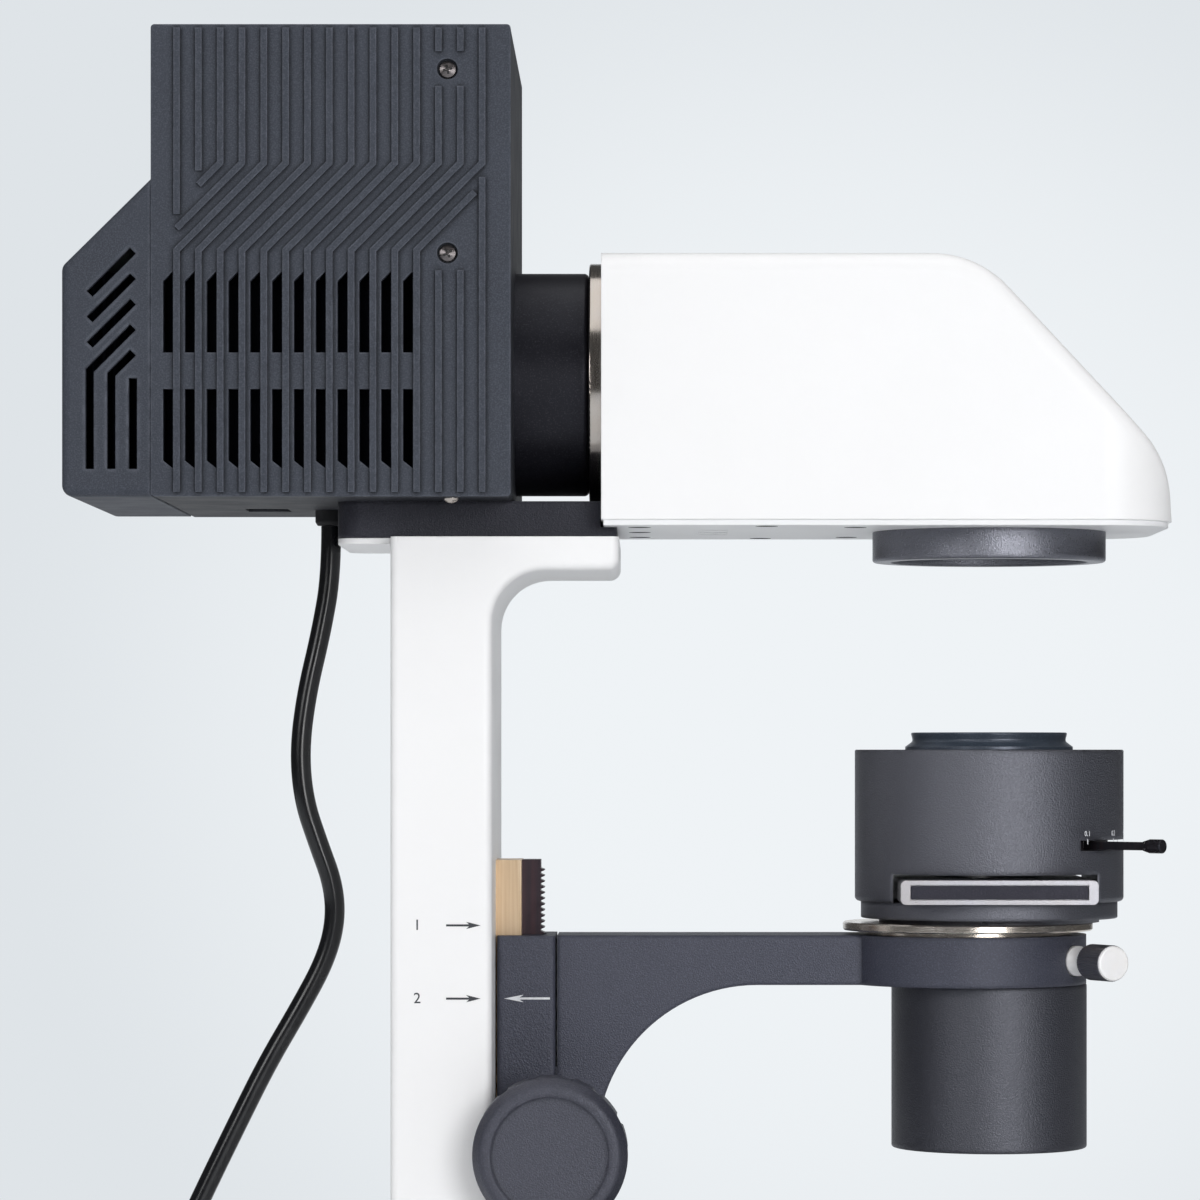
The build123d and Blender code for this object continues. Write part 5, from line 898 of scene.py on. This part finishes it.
class MICROSCOPE_OT_carrier(bpy.types.Operator):
    """Dovetail, rack, slide block with its arrow, arm, knobs and the knurled clamp screw"""

    bl_idname = "microscope.carrier"
    bl_label = "Carrier"

    SLEEVE = (4.72 * MM, 8.4 * MM, 19.2 * MM, 0.25 * MM)  # radius, ends and bevel of the clamp screw's grip
    ARROW_SPOT = (8.1 * MM, -16.0 * MM, 0.3135)  # from the block's back, on its near side, and height
    ARROW_SIZE = (1.35, 1.05)  # length and stroke against the arrows on the pillar

    def execute(self, context):
        scene = context.scene
        settings = scene.microscope_finish
        coat(drawn_brass("dovetail_brass", settings.brass), "guide_bar")
        coat(blackened_steel("rack_steel", screen(58, 50, 56)), "rack")
        coat(textured_paint("carrier_black", settings.black, 0.7, 0.46), "carrier_block", "carrier_arm")
        coat(textured_paint("knob_black", screen(46, 47, 57), 0.8, 0.44), "condenser_knobs")
        coat(plated("shaft_steel", screen(176, 176, 178), 0.25), "pinion_shaft")
        coat(plated("screw_bright", screen(250, 250, 252), 0.42, metal=0.2), "clamp_screw")
        self.clamp_grip(scene.microscope_turning)
        self.block_arrow(scene.microscope_marks, settings)
        return {"FINISHED"}

    def clamp_grip(self, turning):
        """Knurled sleeve round the clamp screw's knob."""
        joint = JOINTS["clamp_turn"]
        place = (joint["pos_m"], joint["axis"])
        mesh = sleeve_mesh("clamp_grip", self.SLEEVE, *place, turning.ridges, turning.depth)
        keep("clamp_grip", mesh, plated("knurl_dark", screen(160, 160, 168), 0.36), "clamp", 20.0)

    def block_arrow(self, marks, settings):
        """Pale arrow on the near side of the slide block that points at the pillar's marks."""
        ahead, face, z = self.ARROW_SPOT
        longer, wider = self.ARROW_SIZE
        outline = arrow_outline(marks.arrow * longer, marks.stroke * wider)
        mesh = plate_mesh("block_arrow", outline, marks.film)
        spot = (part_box("carrier_block")[0][0] + ahead, face, z)
        moved(mesh, on_plane(spot, (-1.0, 0.0, 0.0), (0.0, 0.0, -1.0)))
        keep("block_arrow", mesh, ink("pale_ink", settings.light_mark), "carrier")


class MICROSCOPE_OT_marks(bpy.types.Operator):
    """Figures and arrows on the pillar that show the two heights of the condenser"""

    bl_idname = "microscope.marks"
    bl_label = "Height marks"

    LOWER_MARK = 0.3148  # height over the table
    MARK_STEP = 19.5 * MM
    FIGURE_X = AXIS_X - 0.1552
    ARROW_X = AXIS_X - 0.1429

    def execute(self, context):
        marks = context.scene.microscope_marks
        material = ink("dark_ink", context.scene.microscope_finish.mark)
        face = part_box("column")[0][1]
        for figure, z in (("1", self.LOWER_MARK + self.MARK_STEP), ("2", self.LOWER_MARK)):
            text = figures_mesh("figure", figure, marks.figure, marks.film)
            moved(text, on_plane((self.FIGURE_X, face, z), RIGHT, UP))
            arrow = plate_mesh("arrow", arrow_outline(marks.arrow, marks.stroke), marks.film)
            moved(arrow, on_plane((self.ARROW_X, face - marks.film / 2, z), RIGHT, UP))
            keep(f"height_figure_{figure}", text, material, "stand")
            keep(f"height_arrow_{figure}", arrow, material, "stand")
        return {"FINISHED"}


class MICROSCOPE_OT_condenser(bpy.types.Operator):
    """Condenser barrels, bright flange, iris lever, slider with dark end panels, and the aperture scale"""

    bl_idname = "microscope.condenser"
    bl_label = "Condenser"

    PANEL_RIM = (2.7 * MM, 1.42 * MM)  # bright rim left beside a panel and over it
    PANEL_CORNER = 0.4 * MM
    PANEL_DEPTH = 1.3 * MM
    PANEL_SHEET = 0.7 * MM
    SCALE = {"0.1": -48.0, "0.2": -28.0, "0.3": -8.0, "0.4": 12.0, "0.5": 32.0}  # degrees from +X
    SCALE_RISE = 4.3 * MM  # from the lever's slot to the figures
    SCALE_FIGURE = 0.5  # size against the figures on the pillar
    TICK = (0.16 * MM, 0.7 * MM, 0.05 * MM)  # half width, half height and corner
    TICK_DROP = 2.1 * MM

    def execute(self, context):
        scene = context.scene
        settings = scene.microscope_finish
        drum = textured_paint("drum_black", settings.drum, 1.0, 0.44, 0.7, 1.8)
        coat(drum, "condenser_body", "condenser_base")
        coat(textured_paint("hood_black", settings.drum, 1.0, 0.3, 0.6, 2.0), "field_ring")
        coat(textured_paint("barrel_black", settings.drum, 1.0, 0.42, 0.6, 1.6), "condenser_tube")
        coat(anodised("ring_black", screen(60, 70, 82), 1.0, 0.1, 0.34), "condenser_top_ring")
        coat(plated("flange_bright", screen(226, 218, 210), 0.18, (1.0, 1.0, 40.0)), "condenser_flange")
        coat(blackened_steel("lever_steel", screen(44, 44, 50)), "iris_lever")
        coat(plated("slider_bright", screen(166, 166, 173), 0.3, (20.0, 1.0, 20.0)), "phase_slider")
        glass = lens_glass("condenser_glass", screen(242, 247, 250))
        coat(glass, "condenser_lens", "condenser_top_lens", "phase_ring")
        self.slider_panels()
        self.aperture_scale(scene.microscope_marks, settings)
        return {"FINISHED"}

    def slider_panels(self):
        """Dark grained panels let into both ends of the slider."""
        low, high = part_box("phase_slider")
        x, _, z = middle("phase_slider")
        beside, over = self.PANEL_RIM
        material = anodised("panel_black", screen(30, 28, 38), 0.4, 1.0)
        halves = ((high[0] - low[0]) / 2 - beside, (high[2] - low[2]) / 2 - over)
        for label, side in SIDES.items():
            y = (low[1] if side < 0 else high[1]) - side * self.PANEL_DEPTH
            mesh = plate_mesh("slider_panel", rounded_outline(*halves, self.PANEL_CORNER), self.PANEL_SHEET)
            moved(mesh, on_plane((x, y, z), (-side, 0.0, 0.0), UP))
            keep(f"slider_panel_{label}", mesh, material, "slider")

    def aperture_scale(self, marks, settings):
        """Figures and ticks round the drum, over the slot of the iris lever."""
        low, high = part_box("condenser_body")
        radius = (high[0] - low[0]) / 2
        z = JOINTS["iris_turn"]["pos_m"][2] + self.SCALE_RISE
        material = ink("scale_ink", settings.light_mark)
        for number, (text, angle) in enumerate(self.SCALE.items()):
            mesh = figures_mesh("aperture", text, marks.figure * self.SCALE_FIGURE, marks.film)
            moved(mesh, round_drum(z, radius, math.radians(angle)))
            keep(f"aperture_figure_{number}", mesh, material, "carrier")
            tick = plate_mesh("tick", rounded_outline(*self.TICK), marks.film)
            moved(tick, round_drum(z - self.TICK_DROP, radius, math.radians(angle)))
            keep(f"aperture_tick_{number}", tick, material, "carrier")


class MICROSCOPE_OT_nosepiece(bpy.types.Operator):
    """Turret and objectives with their coloured rings and knurled collars"""

    bl_idname = "microscope.nosepiece"
    bl_label = "Nosepiece"

    RINGS = {
        "objective_low": screen(196, 46, 40),
        "objective_medium": screen(226, 190, 52),
        "objective_high": screen(60, 140, 74),
        "objective_highest": screen(66, 134, 190),
    }
    BAND = (12.0 * MM, 13.0 * MM, 15.2 * MM)  # radius and ends of a coloured ring, from the seat
    SLEEVE = (12.05 * MM, 3.4 * MM, 8.6 * MM, 0.25 * MM)  # radius, ends and bevel of a knurled collar

    def execute(self, context):
        turning = context.scene.microscope_turning
        coat(plated("turret_satin", screen(190, 191, 194), 0.32), "turret")
        coat(anodised("carriage_black", screen(50, 51, 57)), "focus_carriage")
        barrel = plated("objective_chrome", screen(208, 208, 210), 0.18)
        for index, (node, tint) in enumerate(self.RINGS.items()):
            coat(barrel, node)
            place = self.seat(index)
            ring = lathe("ring", band_profile(*self.BAND, turning.proud), *place, ring=True)
            keep(f"{node}_ring", ring, ink(f"{node}_tint", tint), "nosepiece", 50.0)
            grip = sleeve_mesh("grip", self.SLEEVE, *place, turning.ridges * 1.5, turning.depth)
            keep(f"{node}_grip", grip, barrel, "nosepiece", 20.0)
        return {"FINISHED"}

    def seat(self, index):
        """Seat and direction of an objective: the one over the specimen, turned about the turret's axis."""
        joint = JOINTS["nosepiece_turn"]
        pivot = Vector(joint["pos_m"])
        turn = Quaternion(joint["axis"], 2.0 * math.pi * index / len(self.RINGS))
        first = Vector((AXIS_X, 0.0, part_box("objective_low")[0][2]))
        return pivot + turn @ (first - pivot), turn @ Vector(UP)


class MICROSCOPE_OT_eyepieces(bpy.types.Operator):
    """Eyepieces with knurled rings, soft cups and eye lenses"""

    bl_idname = "microscope.eyepieces"
    bl_label = "Eyepieces"

    EYE_OFFSET = 32.0 * MM  # from the fold's pin to an eyepiece
    SLEEVE = (17.05 * MM, 94.0 * MM, 103.0 * MM, 0.3 * MM)  # radius, ends and bevel of a diopter ring
    LENS_RADIUS = 11.5 * MM
    LENS_BACK = 127.6 * MM
    LENS_RIM = 128.2 * MM
    LENS_RISE = 1.5 * MM

    def execute(self, context):
        turning = context.scene.microscope_turning
        coat(anodised("eye_tube_black", screen(48, 49, 54)), "eye_tube_near", "eye_tube_far")
        coat(rubber("eyepiece_black", screen(40, 40, 44)), "eyepiece_near", "eyepiece_far")
        glass = lens_glass("eye_lens_glass", screen(226, 236, 248))
        satin = plated("diopter_satin", screen(150, 150, 154), 0.35)
        joint = JOINTS["near_eye_fold"]
        for label, side in SIDES.items():
            place = (np.array(joint["pos_m"]) + (0.0, side * self.EYE_OFFSET, 0.0), joint["axis"])
            grip = sleeve_mesh("diopter", self.SLEEVE, *place, turning.ridges * 1.5, turning.depth * 1.5)
            keep(f"diopter_ring_{label}", grip, satin, f"{label}_eye", 20.0)
            lens = lathe("eye_lens", self.lens_profile(), *place, 64)
            keep(f"eye_lens_{label}", lens, glass, f"{label}_eye", 40.0)
        return {"FINISHED"}

    def lens_profile(self):
        """Section of an eye lens: a dome that falls with the square of the radius, over a flat back."""
        rho = np.linspace(0.0, 1.0, 13)
        dome = np.column_stack([rho * self.LENS_RADIUS, self.LENS_RIM + self.LENS_RISE * (1.0 - rho**2)])
        back = np.column_stack([rho[::-1] * self.LENS_RADIUS, np.full_like(rho, self.LENS_BACK)])
        return np.concatenate([dome, back])


class MICROSCOPE_OT_controls(bpy.types.Operator):
    """Focus knobs, switch, dial and pull knob, with the marks beside them"""

    bl_idname = "microscope.controls"
    bl_label = "Controls"

    BASE_EDGE = 7.0 * MM  # round along the top edge of the base
    BASE_EDGE_START = 45.0 * MM
    DIAL_ARC = 15.8 * MM  # radius of the figures round the dial
    DIAL_START = 225.0  # degrees from +X
    DIAL_STEP = 54.0
    DIAL_FIGURE = 0.65  # size against the figures on the pillar
    DIAL_LINE = (0.5 * MM, 4.0 * MM, 0.2 * MM)  # half width, half length and corner
    DIAL_LINE_OUT = 7.0 * MM
    ROCKER_HALF = 9.5 * MM
    ROCKER_TILT = 1.1 / 9.5  # fall towards the middle over the half length
    SWITCH_MARK = 5.2 * MM  # from the rocker's middle to its marks
    SWITCH_BAR = (0.3 * MM, 1.7 * MM, 0.1 * MM)  # half width, half height and corner
    SWITCH_RING = (1.3 * MM, 1.75 * MM)  # inner and outer radius

    def execute(self, context):
        marks = context.scene.microscope_marks
        settings = context.scene.microscope_finish
        coat(textured_paint("focus_black", screen(52, 53, 58)), "coarse_knobs", "fine_drive")
        coat(moulding("switch_black", screen(40, 40, 44)), "power_switch")
        coat(moulding("dial_black", screen(44, 45, 50)), "brightness_dial", "path_knob")
        self.dial_scale(marks, ink("stand_ink", settings.mark))
        self.switch_marks(marks, ink("switch_ink", settings.light_mark))
        return {"FINISHED"}

    def dial_scale(self, marks, material):
        """Figures round the dial that follow the base's rounded edge, and a pale line on the dial.

        Above the edge's start the side falls back as edge - sqrt(edge^2 - rise^2).
        """
        centre = middle("brightness_dial")
        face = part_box("stand_body")[0][1]

        def on_side(points):
            rise = np.clip(points[:, 2] - self.BASE_EDGE_START, 0.0, self.BASE_EDGE)
            points[:, 1] += self.BASE_EDGE - np.sqrt(self.BASE_EDGE**2 - rise**2)
            return points

        def outward(degrees):
            return np.array([math.cos(math.radians(degrees)), 0.0, math.sin(math.radians(degrees))])

        for step in range(6):
            out = outward(self.DIAL_START - self.DIAL_STEP * step)
            mesh = figures_mesh("dial_figure", str(step), marks.figure * self.DIAL_FIGURE, marks.film)
            moved(mesh, on_plane((centre[0], face, centre[2]) + self.DIAL_ARC * out, RIGHT, UP))
            keep(f"dial_figure_{step}", moved(mesh, on_side), material, "stand")
        out = outward(self.DIAL_START)
        spot = (centre[0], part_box("brightness_dial")[0][1], centre[2]) + self.DIAL_LINE_OUT * out
        mesh = plate_mesh("dial_line", rounded_outline(*self.DIAL_LINE), marks.film)
        moved(mesh, on_plane(spot, np.cross(out, (0.0, -1.0, 0.0)), out))
        keep("dial_line", mesh, ink("dial_ink", screen(230, 230, 232)), "dial")

    def switch_marks(self, marks, material):
        """A bar and a ring on the two halves of the rocker."""
        x, _, z = middle("power_switch")
        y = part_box("power_switch")[0][1] + (self.ROCKER_HALF - self.SWITCH_MARK) * self.ROCKER_TILT
        for name, side in (("on", -1.0), ("off", 1.0)):
            spot = (x + side * self.SWITCH_MARK, y, z)
            slope = Vector((1.0, -side * self.ROCKER_TILT, 0.0)).normalized()
            if name == "on":
                mesh = plate_mesh("switch_bar", rounded_outline(*self.SWITCH_BAR), marks.film)
                moved(mesh, on_plane(spot, slope, UP))
            else:
                inner, outer = self.SWITCH_RING
                section = [(inner, 0.0), (outer, 0.0), (outer, marks.film), (inner, marks.film)]
                mesh = lathe("switch_ring", section, spot, np.cross(slope, UP), 48, ring=True)
            keep(f"switch_mark_{name}", mesh, material, "switch")


OPERATORS = (
    MICROSCOPE_OT_stage,
    MICROSCOPE_OT_lead,
    MICROSCOPE_OT_castings,
    MICROSCOPE_OT_lamp_house,
    MICROSCOPE_OT_carrier,
    MICROSCOPE_OT_marks,
    MICROSCOPE_OT_condenser,
    MICROSCOPE_OT_nosepiece,
    MICROSCOPE_OT_eyepieces,
    MICROSCOPE_OT_controls,
)


class MICROSCOPE_PT_panel(bpy.types.Panel):
    """Sidebar panel with the pieces of the microscope"""

    bl_idname = "MICROSCOPE_PT_panel"
    bl_label = "Microscope"
    bl_space_type = "VIEW_3D"
    bl_region_type = "UI"
    bl_category = "Microscope"

    def draw(self, context):
        for name in SETTINGS:
            box = self.layout.box()
            group = getattr(context.scene, name)
            for setting in group.bl_rna.properties.keys()[2:]:
                box.prop(group, setting)
        for operator in OPERATORS:
            self.layout.operator(operator.bl_idname)


def register():
    for group in SETTINGS.values():
        bpy.utils.register_class(group)
    for name, group in SETTINGS.items():
        setattr(bpy.types.Scene, name, PointerProperty(type=group))
    for operator in OPERATORS:
        bpy.utils.register_class(operator)
    bpy.utils.register_class(MICROSCOPE_PT_panel)


def unregister():
    bpy.utils.unregister_class(MICROSCOPE_PT_panel)
    for operator in reversed(OPERATORS):
        bpy.utils.unregister_class(operator)
    for name, group in SETTINGS.items():
        delattr(bpy.types.Scene, name)
        bpy.utils.unregister_class(group)


def main():
    register()
    for operator in OPERATORS:
        family, name = operator.bl_idname.split(".")
        getattr(getattr(bpy.ops, family), name)()


if __name__ == "__main__":
    main()
